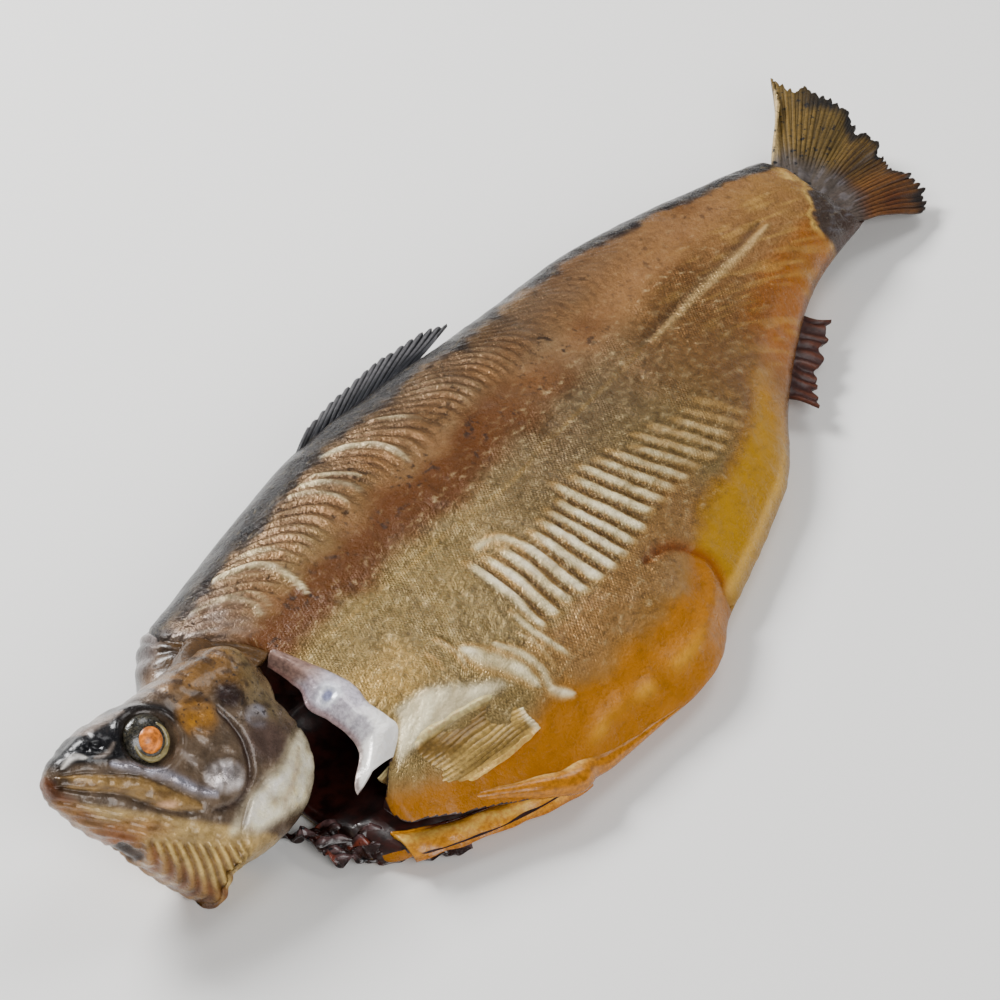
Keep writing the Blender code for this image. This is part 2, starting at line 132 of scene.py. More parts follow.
def bend(xs, ys, x):
    """A smooth curve through a short table of points."""
    xs, ys, x = np.asarray(xs, float), np.asarray(ys, float), np.asarray(x, float)
    slope = np.gradient(ys, xs)
    i = np.clip(np.searchsorted(xs, x) - 1, 0, len(xs) - 2)
    gap = xs[i + 1] - xs[i]
    t = np.clip((x - xs[i]) / gap, 0, 1)
    first = (1 + 2 * t) * (1 - t) ** 2 * ys[i] + t * (1 - t) ** 2 * gap * slope[i]
    return first + t * t * (3 - 2 * t) * ys[i + 1] + t * t * (t - 1) * gap * slope[i + 1]


def ease(low, high, x):
    """0 up to low, rising softly to 1 at high."""
    t = np.clip((np.asarray(x, float) - low) / (high - low), 0, 1)
    return t * t * (3 - 2 * t)


def fade(low, high, x):
    """1 up to low, falling to 0 at high."""
    return 1 - ease(low, high, x)


def band(low, high, soft, x):
    """1 between low and high, fading over soft on each side."""
    return ease(low - soft, low + soft, x) * fade(high - soft, high + soft, x)


def blob(x, y, centre, radii):
    """1 in the middle of an oval patch, 0 from its edge out."""
    r = np.hypot((x - centre[0]) / radii[0], (y - centre[1]) / radii[1])
    return fade(0.35, 1, r)


def rough(x, y, size, seed):
    """Smooth random lumps of a given size, from -1 to 1."""
    lattice = np.random.default_rng(SEED + seed).uniform(-1, 1, (64, 64))
    x, y = np.asarray(x, float) / size, np.asarray(y, float) / size
    i, j = np.floor(x).astype(int), np.floor(y).astype(int)
    s, t = x - i, y - j
    s, t = s * s * (3 - 2 * s), t * t * (3 - 2 * t)
    near = lattice[i % 64, j % 64] * (1 - s) + lattice[(i + 1) % 64, j % 64] * s
    far = lattice[i % 64, (j + 1) % 64] * (1 - s) + lattice[(i + 1) % 64, (j + 1) % 64] * s
    return near * (1 - t) + far * t


def smooth_line(points, count=24):
    """A soft line through a few points."""
    points = np.asarray(points, float)
    at = np.arange(len(points))
    t = np.linspace(0, len(points) - 1, count)
    return np.stack([bend(at, points[:, k], t) for k in range(points.shape[1])], axis=1)


def near_line(x, y, line):
    """The distance to a line, which side of it a place is on, and how far along it, from 0 to 1."""
    steps = np.diff(line, axis=0)
    lengths = np.hypot(steps[:, 0], steps[:, 1])
    best, side, along = np.full(x.shape, np.inf), np.zeros(x.shape), np.zeros(x.shape)
    run = 0
    for start, step, length in zip(line, steps, lengths):
        ax, ay = x - start[0], y - start[1]
        t = np.clip((ax * step[0] + ay * step[1]) / length**2, 0, 1)
        d = np.hypot(ax - t * step[0], ay - t * step[1])
        closer = d < best
        best = np.where(closer, d, best)
        side = np.where(closer, np.sign(ax * step[1] - ay * step[0]), side)
        along = np.where(closer, (run + t * length) / lengths.sum(), along)
        run += length
    return best, side, along


def ridge(x, y, points, width):
    """A soft ridge along a line through a few points: 1 on its crest, thinning to both ends."""
    d, _, along = near_line(x, y, smooth_line(points))
    thin = width * (0.35 + 0.65 * np.sqrt(np.clip(4 * along * (1 - along), 0, 1)))
    return np.exp(-((d / thin) ** 2))


def inside(x, y, corners):
    """True within a closed outline."""
    hit = np.zeros(x.shape, bool)
    for (ax, ay), (bx, by) in zip(corners, corners[1:] + corners[:1]):
        cross = (ay > y) != (by > y)
        at = ax + (y - ay) * (bx - ax) / np.where(abs(by - ay) < 1e-9, 1e-9, by - ay)
        hit ^= cross & (x < at)
    return hit


def patch(x, y, corners, soft):
    """1 within an outline, fading over soft at its edge."""
    closed = np.array(list(corners) + [corners[0]], float)
    d, _, _ = near_line(x, y, closed)
    return ease(-soft, soft, np.where(inside(x, y, corners), d, -d))


def painted(base, *layers):
    """A colour with others laid over it one by one, each by a share from 0 to 1 at each place."""
    tint = base
    for colour, amount in layers:
        amount = np.clip(amount, 0, 1)[..., None]
        tint = tint * (1 - amount) + colour * amount
    return tint


def add_piece(name, points, faces, material, tint=None, marks=None):
    """A smooth mesh in the frame, with its painted tint and the marks that its material reads."""
    points = np.asarray(points, float).reshape(-1, 3)
    mesh = bpy.data.meshes.new(name)
    mesh.from_pydata(((points - PLAN_ORIGIN) * MM).tolist(), [], faces)
    if tint is not None:
        layer = mesh.attributes.new("tint", "FLOAT_COLOR", "POINT")
        rgba = np.concatenate([tint.reshape(-1, 3), np.ones((len(points), 1))], axis=1)
        layer.data.foreach_set("color", rgba.astype(np.float32).ravel())
    for mark, values in (marks or {}).items():
        layer = mesh.attributes.new(mark, "FLOAT", "POINT")
        layer.data.foreach_set("value", np.array(values, np.float32).ravel())
    mesh.shade_smooth()
    obj = bpy.data.objects.new(name, mesh)
    bpy.context.scene.collection.objects.link(obj)
    obj.data.materials.append(material)
    return obj


def round_angles(count):
    """Angles once round."""
    return np.linspace(0, TURN, count, endpoint=False)


def shares(rows, columns):
    """How far along a sheet each column lies, and how far across it each row, from 0 to 1."""
    return np.linspace(0, 1, columns), np.linspace(0, 1, rows)[:, None]


def grid_faces(rows, columns, wrap=False):
    """Quads over a grid of points, joined round its rows or open."""
    i, j = np.meshgrid(np.arange(rows - 1), np.arange(columns if wrap else columns - 1), indexing="ij")
    k = (j + 1) % columns
    corners = (i * columns + j, i * columns + k, (i + 1) * columns + k, (i + 1) * columns + j)
    return np.stack(corners, axis=-1).reshape(-1, 4).tolist()


def tube_faces(rows, columns):
    """Faces of a closed loft: quads round it and a fan at each end, whose centres follow the rings."""
    sides = grid_faces(rows, columns, wrap=True)
    for row, centre, turn in ((0, rows * columns, -1), (rows - 1, rows * columns + 1, 1)):
        for j in range(columns):
            a, b = row * columns + j, row * columns + (j + 1) % columns
            sides.append([a, b, centre][::turn])
    return sides


def with_centres(grid):
    """The points of a grid of rings, then the centres of its first and last ring."""
    flat = grid.reshape(-1, grid.shape[-1])
    return np.concatenate([flat, grid[[0, -1]].mean(axis=1)])


def loft(name, rings, material, tint=None, marks=None, carry=np.asarray):
    """A closed loft over rings of points, with paint and marks by ring, whose points carry then moves."""
    shape = rings.shape[:2]

    def with_ends(values):
        return np.concatenate([values.reshape(-1, *values.shape[2:]), values[0, :1], values[-1, :1]])

    tint = None if tint is None else with_ends(tint)
    marks = {mark: with_ends(np.broadcast_to(values, shape)) for mark, values in (marks or {}).items()}
    return add_piece(name, carry(with_centres(rings)), tube_faces(*shape), material, tint, marks)


def normals_of(points):
    """Outward normals of a closed ring grid."""
    along = np.gradient(points, axis=0)
    ring = (np.roll(points, -1, axis=1) - np.roll(points, 1, axis=1)) / 2
    n = np.cross(along, ring)
    n /= np.maximum(np.linalg.norm(n, axis=2, keepdims=True), 1e-9)
    middle = points.mean(axis=1, keepdims=True)
    flip = np.sign(((points - middle) * n).sum(axis=2).mean())
    return n * flip


class Shade:
    """One material's nodes, wired together as they are made."""

    def __init__(self, name):
        self.material = bpy.data.materials.new(name)
        self.material.use_nodes = True
        self.nodes, self.links = self.material.node_tree.nodes, self.material.node_tree.links
        self.shader = self.nodes["Principled BSDF"]

    def put(self, socket, value):
        """Links a socket to another one, or sets it to a number or a colour."""
        if isinstance(value, bpy.types.NodeSocket):
            self.links.new(value, socket)
        elif isinstance(value, (int, float)):
            socket.default_value = value
        else:
            socket.default_value = (*value, 1)

    def node(self, kind, output, inputs=None, **settings):
        """A new node's output, with its inputs by name or number and its settings."""
        node = self.nodes.new("ShaderNode" + kind)
        for key, value in settings.items():
            setattr(node, key, value)
        for key, value in (inputs or {}).items():
            self.put(node.inputs[key], value)
        return node.outputs[output]

    def place(self):
        return self.node("TexCoord", "Object")

    def mark(self, name, output="Fac"):
        return self.node("Attribute", output, attribute_name=name)

    def mixed(self, factor, a, b, blend="MIX"):
        return self.node("Mix", 2, {0: factor, 6: a, 7: b}, data_type="RGBA", blend_type=blend)

    def maths(self, operation, *values):
        return self.node("Math", 0, dict(enumerate(values)), operation=operation)

    def times(self, a, b):
        return self.maths("MULTIPLY", a, b)

    def scaled(self, value, factor, start):
        return self.maths("MULTIPLY_ADD", value, factor, start)

    def noise(self, vector, scale, detail=3.0, roughness=0.6):
        inputs = {"Scale": scale, "Detail": detail, "Roughness": roughness, "Vector": vector}
        return self.node("TexNoise", "Fac", inputs)

    def ramp(self, value, low, high):
        """A socket stretched so that low becomes 0 and high becomes 1."""
        inputs = {"From Min": low, "From Max": high, "Value": value}
        return self.node("MapRange", "Result", inputs, interpolation_type="SMOOTHSTEP")

    def mapped(self, vector, socket, values):
        """A vector turned or stretched."""
        output = self.node("Mapping", 0, {"Vector": vector})
        output.node.inputs[socket].default_value = values
        return output

    def finish(self, bump, **inputs):
        """Sets the shader's own inputs, and its bump from a height, a strength and a distance in metres."""
        for name, value in inputs.items():
            self.put(self.shader.inputs[SOCKETS[name]], value)
        height, strength, distance = bump
        normal = self.node("Bump", "Normal", {"Strength": strength, "Distance": distance, "Height": height})
        self.put(self.shader.inputs["Normal"], normal)
        return self.material


SOCKETS = {
    "colour": "Base Color", "roughness": "Roughness", "metallic": "Metallic", "specular": "Specular IOR Level",
    "coat": "Coat Weight", "coat_roughness": "Coat Roughness",
}


def skin_material():
    """Oily smoked skin: the painted tint under a fine lattice of scales with painted shade in its hollows, dark
    flecks, painted glints and shade on the crinkles, and a wet shine.
    """
    m = Shade("smoked_skin")
    place, scales = m.place(), m.mark("scales")
    fine, broad = m.noise(place, 900, 4), m.noise(place, 120, 4)
    own = m.node("CombineXYZ", 0, {0: m.mark("along"), 1: m.mark("across")})
    wave = {"Scale": 0.42, "Distortion": 3.6, "Detail": 1, "Detail Scale": 0.5}
    slants = [m.mapped(own, "Rotation", (0, 0, turn)) for turn in (-0.6, 0.6)]
    cells = m.times(*[m.node("TexWave", "Fac", {**wave, "Vector": slant}) for slant in slants])
    crinkle = m.noise(m.mapped(own, "Scale", (0.6, 1, 1)), 0.55, 5, 0.7)
    shown = m.times(m.ramp(m.noise(place, 60), 0.35, 0.6), scales)
    # Painted shade: the lattice's low cells are mixed towards brown, as shade between the scales.
    painted_lattice_shade = m.times(m.ramp(cells, 0.3, 0.02), shown)
    colour = m.mixed(m.times(painted_lattice_shade, 0.17), m.mark("tint", "Color"), tone(84, 66, 42))
    # Painted glints: pale gold where the crinkle bump stands high.
    painted_glints = m.times(m.ramp(crinkle, 0.52, 0.72), scales)
    colour = m.mixed(m.times(painted_glints, 0.6), colour, tone(226, 200, 148))
    # Painted shade: dark brown where the crinkle bump lies low.
    painted_crinkle_shade = m.times(m.ramp(crinkle, 0.5, 0.3), m.scaled(scales, 0.4, 0.25))
    colour = m.mixed(painted_crinkle_shade, colour, tone(70, 50, 28))
    colour = m.mixed(0.35, colour, m.mixed(broad, (0.2, 0.2, 0.2), (0.8, 0.8, 0.8)), "OVERLAY")
    spots = m.times(m.ramp(m.noise(place, 480, 3), 0.54, 0.64), m.ramp(m.noise(place, 110), 0.42, 0.62))
    colour = m.mixed(m.times(spots, m.times(m.mark("flecks"), 0.85)), colour, tone(40, 28, 22))
    height = m.scaled(cells, m.times(shown, 0.28), m.times(fine, 0.7))
    height = m.maths("ADD", height, m.times(crinkle, m.scaled(scales, 1.6, 0.2)))
    return m.finish(
        (height, 0.8, 0.0006), colour=colour, roughness=m.scaled(fine, 0.2, 0.18), metallic=m.mark("shine"),
        specular=0.2, coat=0.07, coat_roughness=0.15,
    )


def head_material():
    """Skin and bone of the head: the painted tint with fine mottling and a wet shine."""
    m = Shade("head_skin")
    place = m.place()
    broad, fine = m.noise(place, 260, 5), m.noise(place, 1300, 4)
    mottle = m.mixed(m.ramp(broad, 0.3, 0.7), (0.22, 0.2, 0.18), (0.82, 0.8, 0.78))
    colour = m.mixed(0.55, m.mark("tint", "Color"), mottle, "OVERLAY")
    spots = m.times(m.ramp(m.noise(place, 900, 3), 0.56, 0.68), m.times(m.mark("flecks"), 0.7))
    colour = m.mixed(spots, colour, tone(38, 30, 28))
    return m.finish(
        (m.maths("ADD", fine, broad), 0.5, 0.0003), colour=colour, roughness=m.scaled(fine, 0.26, 0.16),
        metallic=m.mark("shine"), specular=0.3, coat=0.25, coat_roughness=0.1,
    )


def plain_wet(name, colour, roughness, coat, scale, spread):
    """A wet dark or pale tissue with soft mottling."""
    m = Shade(name)
    speck = m.noise(m.place(), scale, 5)
    mottle = m.mixed(m.ramp(speck, 0.35, 0.65), colour * (1 - spread), np.clip(colour * (1 + spread), 0, 1))
    return m.finish((speck, 0.4, 0.0004), colour=mottle, roughness=roughness, coat=coat, coat_roughness=0.1)


def tinted(name, roughness, coat, metallic=0.0):
    """A dried fin or flap: its painted tint with fine fibres and small dark dots."""
    m = Shade(name)
    place = m.place()
    speck = m.noise(place, 1100, 4)
    mottle = m.mixed(m.ramp(speck, 0.3, 0.7), (0.2, 0.2, 0.2), (0.8, 0.8, 0.8))
    colour = m.mixed(0.5, m.mark("tint", "Color"), mottle, "OVERLAY")
    dots = m.times(m.ramp(m.noise(place, 520, 2), 0.6, 0.68), m.mark("flecks"))
    return m.finish(
        (speck, 0.5, 0.0003), colour=m.mixed(dots, colour, BLACK), roughness=roughness, metallic=metallic,
        specular=0.3, coat=coat, coat_roughness=0.15,
    )


def trunk_height(x):
    """The trunk's depth from back to belly."""
    return bend(TRUNK_X, BACK_Y, x) - bend(TRUNK_X, BELLY_Y, x)


def on_flank(points):
    """Points by distance along the trunk and share of its depth, as distances along and down."""
    return [(x, share * float(trunk_height(x))) for x, share in points]


def trunk_grid(xs, angles):
    """The trunk's skin at these stations and angles: from the back over the left side to the belly and back below."""
    x, a = np.meshgrid(xs, angles, indexing="ij")
    u = (1 - np.cos(a)) / 2
    left = np.where(a <= math.pi, 1.0, -1.0)
    leftness = 0.5 + 0.5 * np.sin(a) / np.sqrt(np.sin(a) ** 2 + RIDGE_SOFTNESS)
    rise = np.sqrt(np.clip(1 - ((THICKEST - np.minimum(u, THICKEST)) / THICKEST) ** 2, 0, 1))
    fall = np.cos(0.5 * math.pi * (np.clip(u - THICKEST, 0, 1) / (1 - THICKEST)) ** FALL_POWER)
    rim = np.sqrt(np.clip(1 - np.abs(2 * u - 1) ** EDGE_POWER, 0, 1))
    half = bend(TRUNK_X, HALF_T, x) * rise * fall + bend(TRUNK_X, EDGE_T, x) * rim
    y = bend(TRUNK_X, BACK_Y, x) - trunk_height(x) * u
    back_z, belly_z = bend(TRUNK_X, BACK_Z, x), bend(TRUNK_X, BELLY_Z, x)
    z = np.maximum(back_z + (belly_z - back_z) * u + left * half, TAIL_LIFT * ease(*TAIL_LIFT_X, x))
    near, far = (bend(SHOULDER_Y[::-1], table[::-1], y) for table in (SHOULDER_X, RIGHT_SHOULDER_X))
    shoulder = far + (near - far) * leftness
    pull = (shoulder - SHOULDER_BLEND[0]) * fade(*SHOULDER_BLEND, x)
    return np.stack([x + pull, y, z], axis=-1), x, u, left


# Folds of the flank: points by distance along the trunk and share of its depth, then width, height and the strength
# of the painted highlight on the crest.
SHOULDER_FOLDS = (
    (((58, 0.15), (62, 0.18), (64.8, 0.215), (65.2, 0.255), (63.4, 0.3), (60.5, 0.345)), 1.3, 1.2, 0.9),
    (((64, 0.15), (67.5, 0.18), (69.8, 0.215), (70, 0.25)), 1.1, 0.8, 0.6),
    (((49, 0.16), (52.6, 0.19), (54.6, 0.225), (53.8, 0.265), (50, 0.3)), 1.2, 1.0, 0.7),
    (((54, 0.21), (57, 0.235), (56.5, 0.27), (53.5, 0.3)), 0.9, 0.7, 0.5),
    (((83, 0.14), (87, 0.185), (89.4, 0.235), (89.5, 0.27)), 1.0, 0.8, 0.8),
    (((87, 0.145), (91.3, 0.19), (94.3, 0.24), (94.6, 0.275)), 1.1, 1.0, 0.9),
    (((91, 0.145), (95.5, 0.19), (98.8, 0.245)), 1.0, 0.8, 0.8),
    (((99, 0.13), (104.5, 0.16), (108.8, 0.2), (110.4, 0.245), (110, 0.29)), 1.4, 1.2, 0.95),
    (((116, 0.14), (120.6, 0.18), (123.8, 0.23)), 1.3, 0.7, 0.6),
)
FLANK_FOLDS = (
    (((71.5, 0.69), (74.5, 0.725), (78.6, 0.765), (80.8, 0.8), (81.2, 0.835)), 2.5, 1.7, 1.0),
    (((80, 0.725), (83.6, 0.77), (84.6, 0.82), (83, 0.855), (86.5, 0.885)), 1.5, 1.2, 0.95),
    (((69, 0.64), (69.6, 0.68), (69.3, 0.73)), 1.3, 0.7, 0.55),
    (((63.5, 0.65), (63, 0.7)), 1.0, 0.4, 0.3),
    (((87.4, 0.74), (88.4, 0.78), (87.8, 0.83)), 1.0, 0.6, 0.5),
    (((90.4, 0.69), (90.6, 0.76), (93, 0.83)), 1.1, 0.9, 0.8),
    (((98.5, 0.545), (103, 0.552), (106.5, 0.575), (107.4, 0.62)), 1.5, 0.7, 0.8),
)
BAR_STEP = 4.7
BAR_FIRST = 94
BAR_LEAN_X = (90, 115, 135, 160, 190)
BAR_LEAN = (-5, 18, 37, 58, 66)
BAR_TOP = (0.57, 0.585, 0.565, 0.655, 0.74)
BAR_FOOT = (0.755, 0.765, 0.775, 0.805, 0.85)
BACK_STEP = 3.3
BACK_ARC = 640
BACK_ARC_TOP = 0.26
CREASE = ((186, 0.495), (200, 0.515), (212, 0.545), (226, 0.575), (240, 0.592), (251, 0.585))
UNDER_CREASE = ((190, 0.512), (203, 0.545), (214, 0.57), (226, 0.6), (238, 0.625), (252, 0.63))
ROLL = ((76, 0.985), (82, 0.965), (90, 0.952), (104, 0.953), (118, 0.953), (130, 0.95), (140, 0.955))
NOTCH = ((128, 0.8), (137, 0.833), (142.5, 0.88), (145.5, 0.925), (144.5, 0.965), (142, 1.0))
LATERAL_LINE = ((45, 0.462), (90, 0.475), (140, 0.488), (190, 0.5))
FACET = (
    (45, 0.735), (52, 0.722), (60, 0.733), (68, 0.757), (75.5, 0.79), (75.5, 0.8), (62, 0.797), (52, 0.803),
    (45, 0.825),
)


def bars(x, u):
    """The row of folds on the lower flank, leaning more towards the tail, from 0 in a hollow to 1 on a crest; the
    tint paints highlight on the crests and shade in the hollows.
    """
    y = u * trunk_height(x)
    lean, top, foot = (bend(BAR_LEAN_X, table, np.clip(x, 90, 190)) for table in (BAR_LEAN, BAR_TOP, BAR_FOOT))
    turn = (x - lean * (u - 0.66) - BAR_FIRST) / BAR_STEP + 0.1 * rough(x, y, 9, 5)
    crest = ease(0.12, 0.9, 0.5 + 0.5 * np.cos(TURN * turn)) * np.clip(0.9 + 0.3 * rough(x, y, 3, 30), 0, 1)
    ends = 0.022 * rough(np.round(turn) * 9, 0, 5, 6)
    reach = ease(-0.02, 0.035, u - top + ends) * ease(-0.008, 0.02, foot + 0.4 * ends - u)
    return crest, reach * ease(91.5, 93.5, x) * fade(176, 200, x)


def back_ripples(x, u):
    """Fine slanting wrinkles along the back, strong in some places and faint in others, and the painted shade in the
    hollows between them.
    """
    y = u * trunk_height(x)
    turn = (x + BACK_ARC * (u - BACK_ARC_TOP) ** 2) / BACK_STEP + 0.5 * rough(x, y, 16, 7)
    crest = (0.5 + 0.5 * np.cos(TURN * turn)) ** 1.6
    patchy = np.clip(0.6 + 0.75 * rough(x, y, 9, 8), 0, 1)
    reach = band(0.12, 0.29, 0.035, u) * (1 - 0.65 * ease(125, 215, x)) * fade(215, 250, x)
    return crest * patchy * reach, ease(0.45, 0.95, 1 - crest) * reach * (0.8 + 0.4 * rough(x, y, 4, 30))


def flank_relief(x, u, left):
    """Height of the folds over the smooth trunk, and the masks by which the tint paints highlight on their crests and
    shade in their hollows and creases.
    """
    y = u * trunk_height(x)
    shown = np.where(left > 0, 1.0, 0.0)
    height, pale = np.zeros(x.shape), np.zeros(x.shape)
    for points, width, tall, highlight_strength in (*SHOULDER_FOLDS, *FLANK_FOLDS):
        crest = ridge(x, y, on_flank(points), 0.9 * width) * np.clip(0.95 + 0.3 * rough(x, y, 4, 21), 0.2, 1)
        height += 0.6 * tall * crest
        # pale is the painted highlight on each fold's crest.
        pale = np.maximum(pale, highlight_strength * np.clip(crest, 0, 1) ** 1.3)
    crest, reach = bars(x, u)
    height += 0.7 * (crest - 0.45) * reach * (1 - 0.5 * ease(120, 180, x))
    # The bars' crests get the painted highlight too.
    pale = np.maximum(pale, reach * crest * (1 - 0.62 * ease(110, 185, x)))
    ripple, painted_ripple_shade = back_ripples(x, u)
    height += 0.6 * ripple
    # A weaker painted highlight on the back's wrinkles.
    pale = np.maximum(pale, 0.3 * ripple)
    # dark is painted shade in the hollows between the bars.
    dark = reach * (1 - crest)
    # The crease and the ridge under it: the tint paints shade in the crease and highlight on the ridge.
    dent = ridge(x, y, on_flank(CREASE), 2.2)
    lip = ridge(x, y, on_flank(UNDER_CREASE), 1.6)
    height += 0.45 * lip - 0.6 * dent
    facet = patch(x, y, on_flank(FACET), 1.3)
    height += facet * (0.6 + 0.3 * rough(x * 0.5 + y, y - 0.5 * x, 2.2, 22))
    # The notch is a groove, which the tint darkens as painted shade.
    notch = ridge(x, y, on_flank(NOTCH), 1.6)
    height -= 1.1 * notch
    # The belly's rolled edge, whose crest the tint lights with a painted highlight.
    roll = ridge(x, y, on_flank(ROLL), 2.6) * band(80, 138, 7, x)
    roll *= np.clip(0.8 + 0.4 * rough(x, y, 6, 28), 0, 1)
    height += 1.2 * roll
    lumps = 0.35 * rough(x, y, 14, 1) + 0.2 * rough(x, y, 5, 2) + 0.1 * rough(x, y, 2.2, 3)
    creases = 0.3 * band(42, 84, 6, x) * band(0.5, 0.72, 0.03, u) * rough(x, y * 0.35, 2.4, 9)
    wrinkles = 0.25 * ease(0.84, 0.92, u) * rough(x, y, 3.5, 4)
    height = (height + wrinkles + creases) * shown + lumps * ease(0.01, 0.05, u) * ease(0, 0.06, 1 - u)
    folds = {
        "pale": pale, "facet": facet, "dent": dent, "lip": lip,
        "dark": dark, "notch": notch, "roll": roll, "painted_ripple_shade": painted_ripple_shade,
    }
    return height, {name: share * shown for name, share in folds.items()}


# Shares of the trunk's depth at which the black of the back ends and the amber of the belly starts, and the front
# edge of the golden lobe behind the belly, by share of the depth.
BLACK_EDGE_X = (30, 60, 100, 150, 190, 220, 250, 275)
BLACK_EDGE = (0.13, 0.15, 0.14, 0.125, 0.12, 0.15, 0.19, 0.25)
AMBER_EDGE_X = (40, 90, 130, 165, 200)
AMBER_EDGE = (0.88, 0.865, 0.875, 0.85, 0.84)
LOBE_FRONT_AT = (0.8, 0.83, 0.88, 0.925, 0.965, 1.01)
LOBE_FRONT_X = (129, 137, 142.5, 145.5, 144.5, 141)


def black_share(x, u):
    """How far each place belongs to the black back, which deepens to the tail."""
    y = u * trunk_height(x)
    edge = bend(BLACK_EDGE_X, BLACK_EDGE, x)
    return fade(-0.05, 0.025, u + 0.03 * rough(x, y, 8, 17) + 0.02 * rough(x, y, 2.5, 18) - edge)


def flank_tint(x, u, folds):
    """The skin's painted colour, laid on layer by layer, with painted highlight on the folds' crests, the crease's
    ridge and the belly's roll, and painted shade in their hollows, the crease and the notch.
    """
    y = u * trunk_height(x)
    v = u + 0.02 * rough(x, y, 12, 11) + 0.012 * rough(x, y, 4, 12)
    amber_edge = bend(AMBER_EDGE_X, AMBER_EDGE, np.minimum(x, AMBER_EDGE_X[-1]))
    lobe = ease(-2.5, 2.5, x - bend(LOBE_FRONT_AT, LOBE_FRONT_X, u))
    shoulder = fade(0.34, 0.4, u)
    foil = np.clip(0.8 + 0.45 * rough(x * 0.6, y * 1.6, 1.3, 20), 0, 1)
    line_y = bend(*zip(*LATERAL_LINE), np.minimum(x, 190))
    black = black_share(x, u)
    ragged = 275.5 - 10 * ease(0.5, 0.9, u) + 2.4 * rough(x, y, 4, 16) + 1.2 * rough(x, y, 1.5, 23)
    return painted(
        OLIVE,
        (TAUPE, ease(80, 150, x) * fade(0.5, 0.75, v)),
        (TAN, ease(160, 205, x)),
        (ROSE, 0.85 * band(0.1, 0.26, 0.05, v) * fade(180, 250, x)),
        (COPPER, 0.8 * band(0.2, 0.4, 0.06, v) * (0.75 + 0.5 * rough(x, y, 7, 13))),
        # Partly the skin's own russet and partly painted shade: a dark band just below the back's thickest line.
        (RUSSET, 0.95 * band(0.3, 0.435, 0.035, v) * fade(125, 195, x)),
        (RUSSET, 0.6 * np.clip(rough(x, y, 10, 19), 0, 1) * band(0.12, 0.6, 0.1, v) * ease(120, 170, x)),
        (TAN, 0.8 * ease(0.6, 0.68, v) * ease(180, 210, x)),
        (STRAW, 0.5 * band(42, 62, 6, x) * band(0.6, 0.72, 0.04, v)),
        (tone(160, 116, 66), 0.8 * band(0.755, 0.87, 0.025, v) * band(86, 160, 10, x)),
        (AMBER, ease(-0.03, 0.04, v - amber_edge) * fade(195, 215, x)),
        (GOLD, 0.95 * ease(-0.02, 0.04, v - amber_edge) * lobe * fade(190, 215, x)),
        # Painted shade: darker orange along the notch groove.
        (tone(132, 62, 8), 0.8 * folds["notch"]),
        # Painted highlight on the crest of the belly's rolled edge.
        (tone(230, 170, 56), 0.45 * folds["roll"] ** 4),
        # Painted highlight: brighter amber streaks over the belly.
        (
            tone(190, 118, 10),
            0.2 * ease(0.1, 0.9, rough(x * 0.5, y * 1.5, 4, 26)) * ease(0, 0.05, v - amber_edge) * (1 - lobe),
        ),
        (tone(226, 178, 84), 0.7 * lobe * ease(0.965, 0.985, u) * fade(180, 200, x)),
        (ORANGE, 0.85 * ease(0.7, 0.82, v) * ease(205, 225, x)),
        (tone(140, 102, 48), 0.5 * band(250, 274, 7, x + 12 * (u - 0.5) ** 2) * (0.7 + 0.6 * rough(x, y, 5, 14))),
        # Painted highlight: golden streaks over the rear flank.
        (
            tone(214, 170, 88),
            0.3 * ease(0, 1, rough(x * 0.3, y * 2.4, 2.4, 27)) * band(205, 270, 10, x) * ease(0.35, 0.5, u),
        ),
        (SILVER, 0.85 * blob(x, v, (42, 0.2), (18, 0.13)) * (0.75 + 0.4 * rough(x, y, 2, 15))),
        # Painted shade in the hollows between the bars.
        (tone(96, 66, 32), 0.8 * folds["dark"] * fade(130, 190, x)),
        # Painted highlight: a golden fringe round each fold's highlight.
        (tone(190, 146, 80), 0.6 * band(0.1, 0.5, 0.1, folds["pale"]) * (1 - shoulder)),
        # Painted highlight on the fold crests, broken up by the foil noise.
        (tone(250, 232, 180), 0.95 * foil * ease(0.1, 0.9, folds["pale"]) * (1 - 0.2 * shoulder)),
        # Painted shade in the hollows between the back's wrinkles.
        (tone(74, 52, 36), 0.65 * folds["painted_ripple_shade"]),
        # Painted highlight: cream over the facet.
        (CREAM, folds["facet"] * np.clip(0.75 + 0.45 * rough(x * 0.5 + y, y - 0.5 * x, 2.2, 22), 0, 1)),
        # Painted highlight: a white core on the strongest crests.
        (WHITE, 0.3 * foil * ease(0.7, 1, folds["pale"]) * fade(130, 170, x) * (1 - 0.7 * shoulder)),
        # Painted shade in the crease.
        (tone(78, 56, 38), 0.7 * folds["dent"] ** 2),
        # Painted highlight on the ridge under the crease.
        (tone(214, 180, 120), 0.6 * folds["lip"] ** 2),
        (STRAW, 0.35 * band(-0.003, 0.003, 0.004, u - line_y) * band(46, 186, 6, x)),
        (SLATE, 0.7 * ease(0, 0.6, black)),
        (BLACK, black),
        (tone(226, 186, 96), 0.7 * band(-2, 0, 0.8, x - ragged) * (0.6 + 0.6 * rough(x, y, 2, 25)) * (1 - black)),
        (tone(50, 44, 42), 0.95 * ease(-1, 1, x - ragged)),
        (tone(96, 94, 100), 0.6 * ease(0, 1, rough(x, y * 3, 2, 24)) * ease(0, 2, x - ragged)),
        (tone(60, 36, 26), 0.6 * ease(0.975, 1.0, u) * ease(120, 150, x)),
    )


